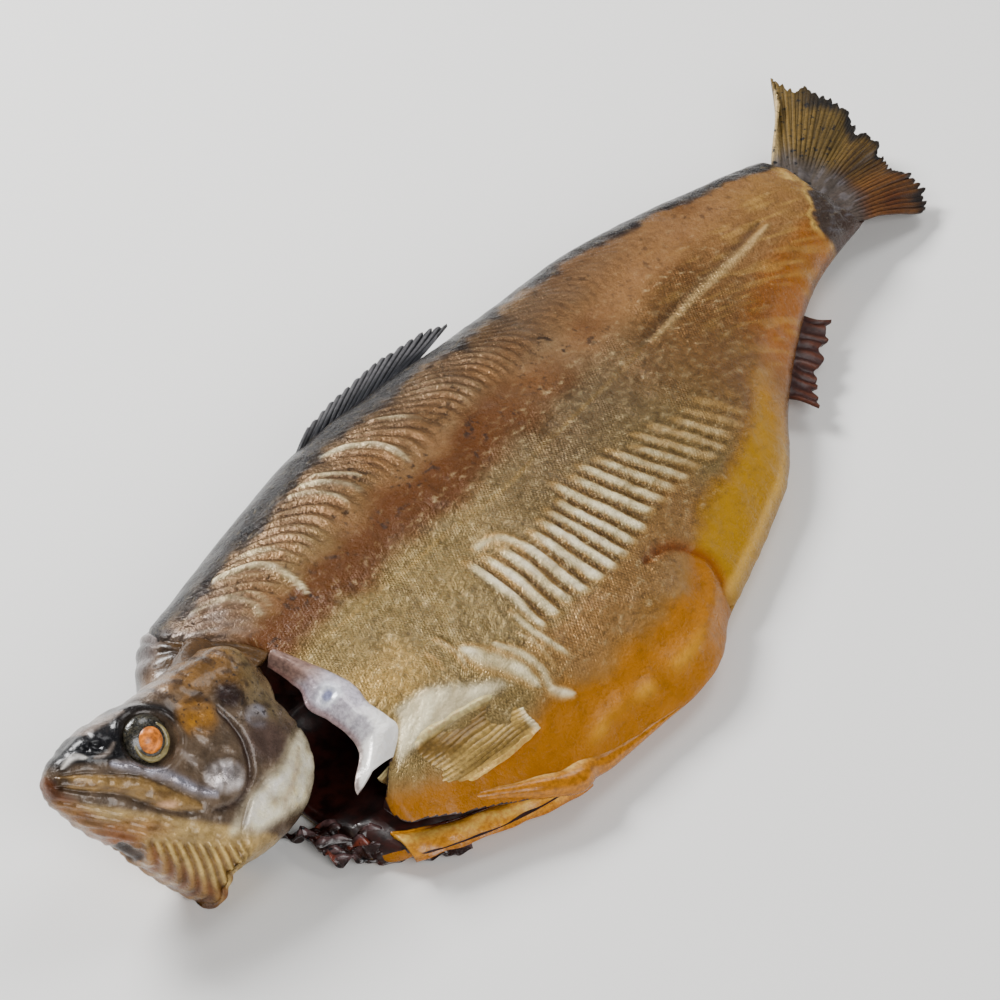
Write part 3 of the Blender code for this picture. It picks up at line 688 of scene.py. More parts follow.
def trunk():
    """The trunk's skin with its folds, its front edge rounded, closed round the body hollow and the belly slit."""
    above, below = np.linspace(0, math.pi, 190, endpoint=False), np.linspace(math.pi, TURN, 90, endpoint=False)
    angles = np.concatenate([above, below])
    xs = np.concatenate([np.linspace(40, 40 + EDGE_ROUND, 9, endpoint=False), np.linspace(40 + EDGE_ROUND, 292, 305)])
    points, x, u, left = trunk_grid(xs, angles)
    height, folds = flank_relief(x, u, left)
    off_ground = ease(0, 2.5, points[..., 2])
    curl = np.clip(1 - (x - 40) / EDGE_ROUND, 0, 1)
    inset = EDGE_ROUND * (1 - np.sqrt(1 - curl**2))
    points = points + normals_of(points) * (height * off_ground - inset)[..., None]
    middle_z = bend(TRUNK_X, BACK_Z, x) + (bend(TRUNK_X, BELLY_Z, x) - bend(TRUNK_X, BACK_Z, x)) * u
    thinner = 1 - 0.9 * ease(274, 284, x - 2 * rough(x, u * 30, 3, 25))
    points[..., 2] = middle_z + (points[..., 2] - middle_z) * thinner
    points[..., 2] = np.maximum(points[..., 2], 0)
    points[..., 0] -= 0.7 * np.maximum(points[..., 0] - 280, 0)
    girth = np.cumsum(np.linalg.norm(np.diff(points, axis=1, append=points[:, :1]), axis=2), axis=1)
    middle = band(0.4, 0.87, 0.05, u) * fade(205, 250, x)
    # pale: the larger of the folds' painted highlight and the facet, where scales, flecks and metal are cut back.
    pale, black = np.maximum(folds["pale"], folds["facet"]), black_share(x, u)
    metal = 0.25 + 0.45 * middle + 0.45 * band(0.1, 0.3, 0.05, u) * fade(160, 230, x)
    metal = np.clip(metal * (1 - 0.75 * pale), 0, 0.85) * (1 - 0.8 * black)
    marks = {
        "along": x,
        "across": girth,
        "scales": np.clip(0.2 + 0.8 * middle, 0, 1) * (1 - 0.8 * pale) * (1 - 0.8 * ease(0.86, 0.9, u)),
        "flecks": np.clip(band(0.1, 0.4, 0.05, u) * (1 - 0.6 * ease(150, 200, x)) + 0.25, 0, 1) * (1 - pale),
        "shine": metal * fade(0.85, 0.9, u) * (1 - 0.6 * band(0.3, 0.43, 0.03, u)),
        "skin": 1,
    }
    body = loft("trunk_skin", points, SKIN, flank_tint(x, u, folds), marks)
    return cut(body, [hollow_cutter(), slit_cutter()])


def oval_rings(xs, ys, half_ys, zs, half_zs, size=48, power=2.4):
    """Rings standing across +X, each a rounded box."""
    a = round_angles(size)
    c, s = np.cos(a), np.sin(a)
    wide = np.sign(c) * np.abs(c) ** (2 / power)
    tall = np.sign(s) * np.abs(s) ** (2 / power)
    return np.array([
        np.stack([np.full(size, x), y + half_y * wide, z + half_z * tall], axis=1)
        for x, y, half_y, z, half_z in zip(xs, ys, half_ys, zs, half_zs)
    ])


def hollow_cutter():
    """The lumpy space of the body hollow."""
    xs = np.linspace(HOLLOW_X[0], HOLLOW_X[-1], 40)
    tables = [bend(HOLLOW_X, t, xs) for t in (HOLLOW_Y, HOLLOW_HALF_Y, HOLLOW_Z, HOLLOW_HALF_Z)]
    rings = oval_rings(xs, *tables)
    swell = 1 + 0.05 * rough(rings[..., 0], rings[..., 1] + rings[..., 2], 6, 21)[..., None]
    centre = rings.mean(axis=1, keepdims=True)
    rings = centre + (rings - centre) * swell
    return loft("hollow_cutter", rings, CAVITY)


def slit_cutter():
    """The space of the belly slit's open end."""
    near, far = SLIT_Y
    rings = np.array([
        [(x, near, z - half), (x, near, z + half), (x, far, z + half * 1.2), (x, far, z - half * 1.2)]
        for x, z, half in zip(SLIT_X, SLIT_Z, SLIT_HALF_Z)
    ], float)
    return loft("slit_cutter", rings, CAVITY)


def face_out(obj):
    """Turns a closed mesh so that its faces look outward."""
    points = np.empty(len(obj.data.vertices) * 3, np.float32)
    obj.data.vertices.foreach_get("co", points)
    obj.data.calc_loop_triangles()
    corners = np.empty(len(obj.data.loop_triangles) * 3, np.int32)
    obj.data.loop_triangles.foreach_get("vertices", corners)
    if np.linalg.det(points.reshape(-1, 3)[corners.reshape(-1, 3)].astype(float)).sum() < 0:
        obj.data.flip_normals()
    return obj


def cut(obj, cutters):
    """Takes the cutters' space out of obj, removes them and lines the cut faces."""
    group = bpy.data.collections.new("cutters")
    for other in cutters:
        face_out(other)
        group.objects.link(other)
    face_out(obj)
    step = obj.modifiers.new("cut", "BOOLEAN")
    step.operation, step.operand_type, step.solver = "DIFFERENCE", "COLLECTION", "MANIFOLD"
    step.collection = group
    graph = bpy.context.evaluated_depsgraph_get()
    result = bpy.data.meshes.new_from_object(obj.evaluated_get(graph))
    obj.modifiers.remove(step)
    obj.data = result
    for other in cutters:
        bpy.data.objects.remove(other)
    bpy.data.collections.remove(group)
    line_hollow(obj)
    return obj


def line_hollow(obj):
    """Gives every cut face the dark lining, by the mark that only the skin has."""
    mesh = obj.data
    if len(mesh.materials) < 2:
        mesh.materials.append(CAVITY)
    skin = np.empty(len(mesh.vertices), np.float32)
    mesh.attributes["skin"].data.foreach_get("value", skin)
    starts = np.empty(len(mesh.polygons), np.int32)
    mesh.polygons.foreach_get("loop_start", starts)
    corners = np.empty(len(mesh.loops), np.int32)
    mesh.loops.foreach_get("vertex_index", corners)
    inner = np.minimum.reduceat(skin[corners], starts) < 0.5
    mesh.polygons.foreach_set("material_index", inner.astype(np.int32))


def to_plan(local):
    """Points in the head's own axes, carried to the plan. The throat rests on the ground."""
    points = np.array(HEAD_AT) + HEAD_SCALE * np.asarray(local, float) @ HEAD_AXES
    points[..., 2] = np.maximum(points[..., 2], 0)
    return points


def head_grid(xs, angles):
    """The smooth head in its own axes, from the crown down the left cheek to the throat and up the right."""
    x, a = np.meshgrid(xs, angles, indexing="ij")
    crown, throat, cheek = (bend(HEAD_X[::-1], t[::-1], x) for t in (CROWN_Y, THROAT_Y, CHEEK_Z))
    middle, tall = (crown + throat) / 2, (crown - throat) / 2
    c, s = np.cos(a), np.sin(a)
    y = middle + tall * np.sign(c) * np.abs(c) ** 0.92
    low = np.clip((middle - y) / tall, 0, 1)
    z = cheek * np.sign(s) * np.abs(s) ** 0.62 * (1 - 0.15 * low**2)
    sweep = np.where(y < 14, GILL_EDGE_BULGE * (y + 2) ** 2, GILL_EDGE_BULGE * 256)
    return np.stack([x + np.minimum(sweep, 16) * fade(4, 24, x), y, z], axis=-1)


# Lines of the head's side, by distance forward and height, and the top of the throat's ribbed fan.
JAW_TOP = ((61, -0.8), (55, -0.6), (50, -1), (44, -1.6), (38, -4.2), (33, -6.6), (29.5, -8.3))
JAW_FOOT = ((61, -3.4), (55, -4.6), (49, -5.2), (44, -7.2), (39, -9.2), (34, -10.2), (29.5, -10))
CHEEK_GROOVE = ((24, 12.5), (19.8, 7), (17.8, 1), (18, -4), (21, -8.6), (27, -10.4))
UNDER_EYE = ((50, 1.2), (43, -0.3), (37, -2), (31.5, -5), (26, -6.6))
GILL_PLATE_EDGE = ((1.5, 9), (5.5, 4.5), (9, -0.5), (14, -4), (18, -8), (20, -14.5))
GILL_PLATE = (
    (-1, 4), (2, 7.5), (6, 4.2), (9, -0.8), (14, -4.2), (18, -8), (20.5, -12), (22, -15), (17, -15.2), (9, -12),
    (2, -9.5), (-1, -6),
)
THROAT_LINE = ((46, -16.4), (42.5, -18.6), (40, -20.2))
FAN_TOP_X = (15, 22, 30, 38, 46)
FAN_TOP_Y = (-17, -17.2, -16.6, -15.4, -14.4)


def head_relief(x, y):
    """Height of the bones and folds over the smooth head."""
    eye = np.hypot(x - EYE_AT[0], y - EYE_AT[1])
    h = -2.4 * fade(4.6, 6.6, eye) + 0.7 * np.exp(-(((eye - 7.3) / 0.8) ** 2))
    jaw = patch(x, y, JAW_TOP + JAW_FOOT[::-1], 0.45)
    h += 0.35 * jaw - 0.8 * ridge(x, y, JAW_FOOT, 0.7) - 0.5 * ridge(x, y, JAW_TOP, 0.6)
    h += jaw * 0.2 * rough(x, y * 0.5, 1.1, 30)
    h += 0.7 * ridge(x, y, UNDER_EYE, 1.5) + 1.3 * blob(x, y, (23.5, -2.6), (6, 4.6))
    h += -0.9 * ridge(x, y, CHEEK_GROOVE, 0.9) - 0.7 * ridge(x, y, GILL_PLATE_EDGE, 0.8)
    h += 0.6 * ridge(x, y, ((34, 3), (31, 2.2), (28, 1)), 0.8) + 0.5 * ridge(x, y, ((30, 8), (26, 5), (22, 4)), 1.2)
    h += -0.8 * blob(x, y, (52.5, 5.4), (1.8, 1.3)) - 0.7 * blob(x, y, (55, 4.6), (1.2, 1))
    h += 0.5 * ridge(x, y, ((57, 3.6), (53, 3.2), (49.5, 3.4)), 0.9)
    jaw_y = y + 6 + (60 - x) * 0.27
    lower = band(-9, 0.2, 0.8, jaw_y) * ease(22, 27, x)
    h += 0.16 * lower * np.sin(jaw_y * 4.4 + 0.8 * rough(x, y, 6, 31))
    h += 0.6 * fan_mask(x, y) * np.cos(fan_turn(x, y))
    h += -1.1 * ridge(x, y, THROAT_LINE, 0.7)
    h += 0.25 * rough(x, y, 3, 33) + 0.12 * rough(x, y, 1.3, 34)
    return h * ease(0, 1, 1.2 - np.abs(y) / 40)


def fan_turn(x, y):
    """The ribs of the throat, as a turn that grows from one to the next."""
    return TURN * (0.86 * x - 0.5 * y) / 1.9 + 0.9 * rough(x, y, 7, 32)


def fan_mask(x, y):
    """1 over the ribbed fan under the throat."""
    line = bend(FAN_TOP_X, FAN_TOP_Y, np.clip(x, FAN_TOP_X[0], FAN_TOP_X[-1]))
    return ease(0, 1.6, line - y) * ease(14, 20, x) * fade(39, 45, x)


def head_tint(x, y):
    """The head's painted colour, laid on layer by layer, with painted highlights on the snout, the crown, the nostril
    and the upper jaw, and painted shade between the throat's ribs.
    """
    speck = rough(x, y, 1.6, 35)
    drift = rough(x, y, 4, 36)
    fan = fan_mask(x, y)
    stripes = 0.5 + 0.5 * np.cos(fan_turn(x, y))
    plate = patch(x, y, GILL_PLATE, 2.2) * np.clip(0.8 + 0.5 * drift, 0, 1)
    jaw = patch(x, y, JAW_TOP + JAW_FOOT[::-1], 0.5)
    return painted(
        tone(92, 76, 60),
        (tone(108, 76, 34), ease(15, 20, y + 2 * drift) * fade(33, 42, x)),
        (tone(120, 104, 72), 0.7 * ease(9, 13, y + 2 * drift) * fade(14, 20, x)),
        (tone(84, 66, 60), 0.8 * blob(x, y, (13, 5), (8, 7))),
        (tone(166, 138, 84), ease(-0.5, 1.5, -(y + 6 + (60 - x) * 0.2))),
        (tone(138, 84, 26), 0.7 * blob(x, y, (46, -14), (13, 4.5)) * (0.8 + 0.5 * drift)),
        (
            tone(86, 56, 24),
            0.5 * ease(0.2, 0.9, rough(x * 0.4, y * 2.2, 2, 37)) * ease(-1, 1, -(y + 6 + (60 - x) * 0.2)),
        ),
        (tone(196, 166, 98), 0.8 * fan),
        # Painted shade: dark brown in the hollows between the fan's ribs.
        (tone(92, 60, 22), 0.85 * fan * (1 - stripes)),
        (BLACK, ease(41, 48, x) * ease(0, 2.4, y + drift)),
        (BLACK, 0.95 * ridge(x, y, ((50, 8), (45, 12.5), (38, 13.4), (33, 10)), 2.4)),
        # Painted highlight: a silver streak along the top of the snout.
        (SILVER, 0.9 * ridge(x, y, ((54, 8.2), (49, 10.8), (44, 12.8)), 0.6)),
        # Painted highlight: a grey-white streak along the crown.
        (SILVER, 0.6 * ridge(x, y, ((43, 14.6), (37, 17), (31, 20)), 1.1) * (0.7 + 0.5 * speck)),
        # Painted highlights round the nostril: a white streak here and a silver one on the next line.
        (WHITE, 0.8 * ridge(x, y, ((60, 0.8), (57.5, 3), (55, 2.8)), 0.5)),
        (SILVER, 0.8 * ridge(x, y, ((53.5, 2.6), (50.5, 3.6), (48.5, 6)), 0.45)),
        (tone(190, 128, 20), 0.85 * blob(x, y, (29, 11), (6, 6)) * (0.7 + 0.5 * speck)),
        (tone(34, 20, 20), 0.95 * blob(x, y, (20.8, 15.6), (4.8, 4.4))),
        (tone(44, 30, 22), 0.7 * ease(0.25, 0.8, speck + 0.4 * drift) * ease(8, 13, y) * fade(34, 40, x)),
        (tone(160, 160, 172), 0.7 * blob(x, y, (14.6, 10.6), (4, 3.4)) * (0.7 + 0.6 * speck)),
        (tone(168, 168, 184), 0.85 * ridge(x, y, UNDER_EYE, 1.1) * (0.8 + 0.4 * speck)),
        (
            tone(214, 208, 210),
            0.95 * blob(x, y, (23.8, -2.8), (6, 4.4)) * (0.75 + 0.5 * rough(x * 1.6, y * 0.6, 1.4, 38)),
        ),
        (SILVER, 0.8 * ridge(x, y, ((34, 3.4), (32, 1.6), (30.5, 0)), 0.7)),
        (tone(255, 244, 208), plate),
        (tone(150, 120, 84), 0.7 * ridge(x, y, ((4, 3), (6, -3), (9, -9)), 1.3) * plate),
        (tone(176, 168, 158), 0.6 * ease(0.1, 0.8, speck) * plate),
        (tone(238, 232, 224), 0.7 * ridge(x, y, ((19, -13.4), (15.5, -8.5), (10, -4)), 1.3)),
        (tone(140, 110, 62), 0.9 * jaw),
        (tone(84, 60, 34), 0.7 * jaw * ease(0, 0.8, rough(x * 0.5, y * 2, 1.6, 39))),
        # Painted highlight: a pink glint on the upper jaw.
        (tone(196, 152, 116), 0.75 * blob(x, y, (37.5, -8.3), (3.2, 1.2))),
        (tone(40, 26, 24), 0.8 * blob(x, y, (60.5, -2.4), (3, 2))),
        (tone(46, 30, 20), 0.75 * ridge(x, y, JAW_TOP, 0.35) * (0.7 + 0.5 * speck)),
        (tone(46, 30, 20), 0.75 * ridge(x, y, JAW_FOOT, 0.42) * (0.7 + 0.5 * speck)),
        (tone(48, 32, 26), 0.85 * ridge(x, y, CHEEK_GROOVE, 0.9)),
        (tone(92, 66, 46), 0.5 * ridge(x, y, GILL_PLATE_EDGE, 0.8)),
        (tone(96, 48, 14), 0.7 * fade(0, 3, y - bend(HEAD_X[::-1], THROAT_Y[::-1], x) - 1.5)),
        (tone(24, 12, 8), 0.95 * ridge(x, y, THROAT_LINE, 0.9)),
    )


def head():
    """The head: one skin with its bones in relief, hollow behind the gill covers."""
    angles = round_angles(220)
    xs = np.concatenate([np.linspace(62.5, 56, 24, endpoint=False), np.linspace(56, -1, 150)])
    local = head_grid(xs, angles)
    x, y = local[..., 0].copy(), local[..., 1].copy()
    height = head_relief(x, y) * ease(0, 3, np.abs(local[..., 2]))
    local = local + normals_of(local) * height[..., None]
    silver = np.maximum(blob(x, y, (23.8, -2.8), (6, 4.4)), ridge(x, y, UNDER_EYE, 1.2))
    upper = ease(6, 16, y) * ease(28, 40, x)
    shine = np.maximum(np.maximum(0.75 * silver, 0.05 * patch(x, y, GILL_PLATE, 2)), np.maximum(0.5 * upper, 0.2))
    marks = {"flecks": band(8, 40, 3, y) + 0.2, "shine": shine, "skin": 1}
    piece = loft("head_skin", local, HEAD, head_tint(x, y), marks, to_plan)
    chamber_x = np.linspace(CHAMBER_X[0], CHAMBER_X[-1], 24)
    tables = [bend(CHAMBER_X, t, chamber_x) for t in (CHAMBER_Y, CHAMBER_HALF_Y)]
    rings = oval_rings(chamber_x, *tables, np.zeros(24), bend(CHAMBER_X, CHAMBER_HALF_Z, chamber_x), power=2.2)
    return cut(piece, [loft("gill_cutter", rings, CAVITY, carry=to_plan)])


def neck():
    """The inner nape between the skull and the shoulder."""
    a = round_angles(96)
    rings = []
    for t in np.linspace(0, 1, 60):
        weights = ((1 - t) ** 3, 3 * t * (1 - t) ** 2, 3 * t * t * (1 - t), t**3)
        centre = sum(w * np.array(p) for w, p in zip(weights, NECK_LINE))
        ring_up, ring_left = HEAD_AXES[1] * (1 - t) + (0, t, 0), HEAD_AXES[2] * (1 - t) + (0, 0, t)
        tall, wide = (ends[0] + (ends[1] - ends[0]) * t for ends in (NECK_TALL, NECK_WIDE))
        ring = tall * np.cos(a)[:, None] * ring_up / np.linalg.norm(ring_up)
        rings.append(centre + ring + wide * np.sin(a)[:, None] * ring_left / np.linalg.norm(ring_left))
    rings = np.array(rings)
    rings = rings + normals_of(rings) * (0.5 * rough(rings[..., 0] + rings[..., 2], rings[..., 1], 4, 41))[..., None]
    tint = painted(
        tone(74, 52, 28),
        (tone(52, 42, 36), ease(-12, 2, rings[..., 1])),
    )
    piece = loft("nape_core", rings, HEAD, tint, {"flecks": 1, "shine": 0, "skin": 1})
    return cut(piece, [hollow_cutter()])


NAPE_SINK = 0.86
NAPE_AT = (0, 0.25, 0.5, 0.75, 1)
NAPE_GUIDE = ((29.5, 9, 10), (30, 11.5, 21), (30, -1, 33), (35, -14, 30.5), (40, -25, 29))


def nape():
    """The skin from the shoulder's front edge up on to the crown: dark on the back, brown and spotted on the side."""
    t, s = shares(60, 130)
    shoulder = trunk_grid(np.array((41.6,)), (-0.55 + 1.9 * t) % TURN)[0][0]
    crown = np.diagonal(head_grid(15 + 13 * fade(0.35, 0.75, t), -1.35 + 1.75 * t)).T
    sink = NAPE_SINK - 0.4 * fade(0, 0.4, t) - 0.08 * ease(0.8, 1, t)
    crown = to_plan(crown * np.stack([sink**0, sink, sink], axis=1))
    guide = np.stack([bend(NAPE_AT, row, t) for row in zip(*NAPE_GUIDE)], axis=1)
    grid = (1 - s[..., None]) ** 2 * shoulder + 2 * (s * (1 - s))[..., None] * guide + s[..., None] ** 2 * crown
    out = grid - np.array((36, -18, 16))
    out /= np.linalg.norm(out, axis=2, keepdims=True)
    swell = np.where(s < 0.5, -1.4 - 1.4 * ease(0.4, 0.6, t), -1.4) * np.abs(2 * s - 1) ** 6
    wrinkle = 0.45 * rough(s * 14, t * 30, 2.6, 42) + 0.3 * np.cos(TURN * (s * 4.5 + 0.4 * rough(t * 20, 0, 5, 43)))
    grid = grid + out * (swell + wrinkle * np.sin(math.pi * s))[..., None]
    brown = ease(0.5, 0.64, t + 0.3 * (s - 0.3) + 0.05 * rough(s * 14, t * 30, 4, 46))
    tint = painted(
        tone(122, 114, 112),
        (tone(74, 52, 26), brown),
        (BLACK, fade(0.28, 0.5, t + 0.1 * rough(s * 14, t * 30, 3, 44))),
        (tone(40, 28, 20), 0.8 * ease(0.2, 0.6, rough(s * 14, t * 30, 2, 45)) * brown),
        (
            tone(104, 82, 62),
            0.9 * ease(0.55, 0.85, s + 0.12 * rough(s * 14, t * 30, 3, 47)) * fade(0.4, 0.6, t),
        ),
    )
    return sheet("nape", grid, 1.4, HEAD, tint, flecks=1, shine=0.45 * (1 - brown))


def ball(name, centre, radii, material):
    """A rounded lump in the head's own axes."""
    a = round_angles(48)
    b = np.linspace(0.02, math.pi - 0.02, 24)[:, None]
    shape = np.stack([np.sin(b) * np.cos(a), np.sin(b) * np.sin(a), np.cos(b) + 0 * a], axis=-1)
    return face_out(loft(name, shape * radii + centre, material, carry=to_plan))


def eyes():
    """Each eye: a dark dried ball, a cooked orange lens standing out of it and a cream rim under the lens."""
    pieces = []
    for side, word in ((1, "left"), (-1, "right")):
        x, y = EYE_AT
        pieces.append(ball(f"eye_ball_{word}", (x, y, side * 7.6), (5.9, 5.9, 3.1), EYE))
        pieces.append(ball(f"eye_lens_{word}", (x + 0.2, y - 0.1, side * 9.2), (3.3, 3.3, 2.7), LENS))
        a = np.linspace(-2.9, 1.2, 40)
        line = np.stack([x - 0.1 - 4.1 * np.cos(a), y - 0.3 + 4.1 * np.sin(a), np.full(40, side * 9.7)], axis=1)
        thick = 0.32 + 0.4 * np.sin(np.linspace(0, math.pi, 40)) + 0.1 * rough(np.arange(40), 0, 3, 51)
        pieces.append(tube(f"eye_rim_{word}", to_plan(line), thick, RIM))
    return pieces


def tube(name, line, thick, material, size=12, tint=None, marks=None):
    """A tube of changing radius along a line, closed at both ends."""
    ahead = np.gradient(line, axis=0)
    ahead /= np.linalg.norm(ahead, axis=1, keepdims=True)
    side = np.cross(ahead, (0.3, 0.2, 0.93))
    side /= np.linalg.norm(side, axis=1, keepdims=True)
    over = np.cross(side, ahead)
    a = round_angles(size)
    ring = side[:, None] * np.cos(a)[None, :, None] + over[:, None] * np.sin(a)[None, :, None]
    rings = line[:, None] + ring * thick[:, None, None]
    return face_out(loft(name, rings, material, tint, marks))


def sheet(name, grid, thick, material, tint, **marks):
    """A thin closed sheet over a grid of points."""
    shape = grid.shape[:2]
    marks = {mark: np.broadcast_to(values, shape) for mark, values in {"flecks": 0, **marks}.items()}
    piece = add_piece(name, grid, grid_faces(*shape), material, np.broadcast_to(tint, grid.shape), marks)
    solid = piece.modifiers.new("thickness", "SOLIDIFY")
    solid.thickness, solid.offset = thick * MM, 0
    return piece


def tail_fin():
    """The crumpled fan of the tail with its rays, dark olive above and maroon below."""
    columns, rows = 320, 70
    s = np.linspace(0, len(TAIL_ROOT) - 1, columns)
    index = np.arange(len(TAIL_ROOT))
    root = np.stack([bend(index, [p[k] for p in TAIL_ROOT], s) for k in (0, 1)], axis=1)
    tip = np.stack([np.interp(s, index, [p[k] for p in TAIL_TIP]) for k in (0, 1)], axis=1)
    start = root - (tip - root) * 0.4
    nibble = 1 - 0.035 * (1 + rough(s, 0, 0.1, 61)) - 0.07 * np.clip(rough(s, 0, 0.5, 62), 0, 1)
    t = np.linspace(0, 1, rows)[:, None]
    fan = np.zeros((rows, columns, 3))
    fan[..., :2] = start + (tip - start) * (t * nibble)[..., None]
    wander = 0.25 * rough(s, 0, 0.7, 65)
    ray = np.cos(TURN * (s * 4.4 + wander)) * (1 - 0.7 * ease(0.5, 0.9, t))
    ray = ray + 0.6 * np.cos(TURN * (s * 8.8 + wander)) * ease(0.45, 0.8, t)
    fold = 1.1 * t * np.cos(TURN * (s * 0.45 + 0.1)) + 0.5 * t * rough(s, 0, 0.6, 66)
    tip_z = bend(index, TAIL_TIP_Z, s)
    lumps = 0.4 * rough(s * 3, t * 12, 2.2, 63)
    share = s / (len(TAIL_ROOT) - 1) + 0 * t
    base_z = 16 - 3 * share
    fan[..., 2] = (
        base_z + (tip_z - base_z) * t**1.5 + fold + 0.16 * ray * ease(0.25, 0.5, t) + lumps * ease(0, 0.2, t)
    )
    crest = np.clip(0.5 + 0.5 * ray, 0, 1)
    tint = painted(
        tone(62, 48, 18),
        (tone(38, 13, 6), ease(0.38, 0.62, share + 0.06 * rough(s * 3, t * 9, 3, 67))),
        (tone(140, 110, 48), 0.45 * crest * ease(0.3, 0.55, t) * (0.6 + 0.6 * rough(s * 3, t * 6, 2, 68))),
        (tone(206, 178, 124), 0.75 * fade(0.03, 0.1, share) * ease(0.25, 0.4, t)),
        (tone(116, 62, 22), 0.4 * crest * ease(0.6, 0.8, share)),
        (tone(66, 58, 52), 0.9 * fade(0.28, 0.5, t + 0.05 * rough(s * 3, t * 9, 2, 69))),
        (tone(104, 100, 104), 0.35 * ease(0.1, 0.8, rough(s * 6, t * 12, 1.4, 70)) * fade(0.34, 0.5, t)),
        (BLACK, 0.9 * ease(0.86, 0.97, t + 0.1 * rough(s * 3, t * 4, 1.5, 64)) * ease(0.15, 0.3, share)),
    )
    return sheet("tail_fin", fan, 0.8, FIN, tint, flecks=fade(0.45, 0.6, share))


def back_fin():
    """The back fin, collapsed along the back with its ray ends trailing to the tail."""
    s, t = shares(30, 160)
    base_x = 97 + 42 * s
    base = np.stack([base_x, bend(TRUNK_X, BACK_Y, base_x) - 5.5, 28.5 + 0 * s], axis=1)
    trail = np.stack([15 + 11 * s, 6.5 + 2 * np.sin(3 * s), 1.5 - 2.5 * s], axis=1)
    ray = np.cos(TURN * (s * 16 + 0.15 * rough(s * 20, 0, 2, 72)))
    notch = 0.035 * (1 - ray) * (1 + 0.9 * rough(s * 30, 0, 2.4, 73)) + 0.07 * rough(s * 30, 0, 5, 75)
    grid = base + trail * (-0.25 + 1.25 * t * (1 - notch * t))[..., None]
    grid[..., 2] += (0.25 * ray + 0.5 * rough(s * 30, t * 8, 3, 74)) * ease(0.1, 0.5, t)
    tint = painted(
        tone(15, 16, 22),
        (tone(120, 118, 120), 0.55 * np.clip(ray, 0, 1) ** 3 * ease(0.5, 0.85, t)),
    )
    return sheet("back_fin", grid, 0.9, FIN, tint)


def vent_fin():
    """The small dark fin under the tail stem."""
    s, t = shares(30, 120)
    x = 212 + 27 * s
    base = np.stack([x, bend(TRUNK_X, BELLY_Y, x) + 3.5, bend(TRUNK_X, BELLY_Z, x)], axis=1)
    reach = np.stack([3 + 3 * s, -9.5 + 3 * s, -2.2 + 0 * s], axis=1)
    ray = np.cos(TURN * (s * 9 + 0.15 * rough(s * 20, 0, 2, 82)))
    notch = 0.04 * (1 - ray) + 0.14 * rough(s * 24, 0, 2, 83)
    grid = base + reach * (t * (1.05 - notch * t))[..., None]
    grid[..., 2] += (0.18 * ray + 1.0 * rough(s * 24, t * 6, 4, 84)) * ease(0.1, 0.5, t)
    tint = painted(
        tone(48, 18, 12),
        (tone(104, 54, 30), 0.4 * np.clip(ray, 0, 1) * ease(0.2, 0.6, t)),
    )
    return sheet("vent_fin", grid, 0.9, FIN, tint)


# The left breast fin's upper and lower edges, from its root to its tip.
BREAST_TOP = ((39.5, -58, 16.5), (50, -59.4, 21.6), (64, -61.3, 22), (77, -63.2, 20.2))
BREAST_FOOT = ((40, -66.5, 12.2), (50, -71.2, 13.8), (63, -74.2, 15), (73.5, -74.6, 16))


def breast_fin():
    """The left breast fin, folded flat against the flank behind the gill opening."""
    s, t = shares(80, 150)
    top, foot = (smooth_line(edge, 150) for edge in (BREAST_TOP, BREAST_FOOT))
    grid = top + (foot - top) * t[..., None]
    lines = np.cos(TURN * (t * 13 + 0.5 * s + 0.5 * rough(s * 10, t * 6, 2, 92)))
    fray = 1.1 * rough(t * 9, 0, 3, 93) + 0.1 * lines
    grid[..., 0] += fray * ease(0.8, 1, s)
    crumple = 0.6 * rough(s * 30, t * 12, 6, 91) + 0.3 * rough(s * 30, t * 12, 2.5, 95)
    rolled = 1.2 * np.exp(-(((t - 0.06) / 0.07) ** 2)) * ease(0.1, 0.5, s)
    rise = 1.2 + np.sin(math.pi * t) ** 0.8 + 0.05 * lines + crumple + rolled
    grid = grid + np.array((0, -0.55, 0.83)) * rise[..., None]
    tint = painted(
        tone(124, 96, 42),
        (tone(160, 130, 66), 0.35 * np.clip(lines, 0, 1)),
        # Painted shade: dark olive below the rolled top edge.
        (tone(96, 68, 24), 0.6 * band(0.12, 0.5, 0.14, t + 0.25 * rough(s * 8, t * 3, 2, 94)) * fade(0.75, 1, s)),
        # Painted highlight along the rolled top edge.
        (tone(226, 206, 146), 0.85 * fade(0.05, 0.15, t)),
        # Painted highlight: a golden band across the fin's lower half.
        (
            tone(206, 170, 96),
            0.55 * band(0.5, 0.75, 0.08, t + 0.1 * rough(s * 6, t * 3, 2, 96)) * (0.7 + 0.2 * lines),
        ),
        (tone(226, 182, 98), 0.8 * ease(0.86, 0.95, t)),
        # Painted highlight on the fin's frayed tip.
        (CREAM, 0.5 * ease(0.93, 0.99, s)),
    )
    return sheet("breast_fin", grid, 1.6, SATIN, tint)


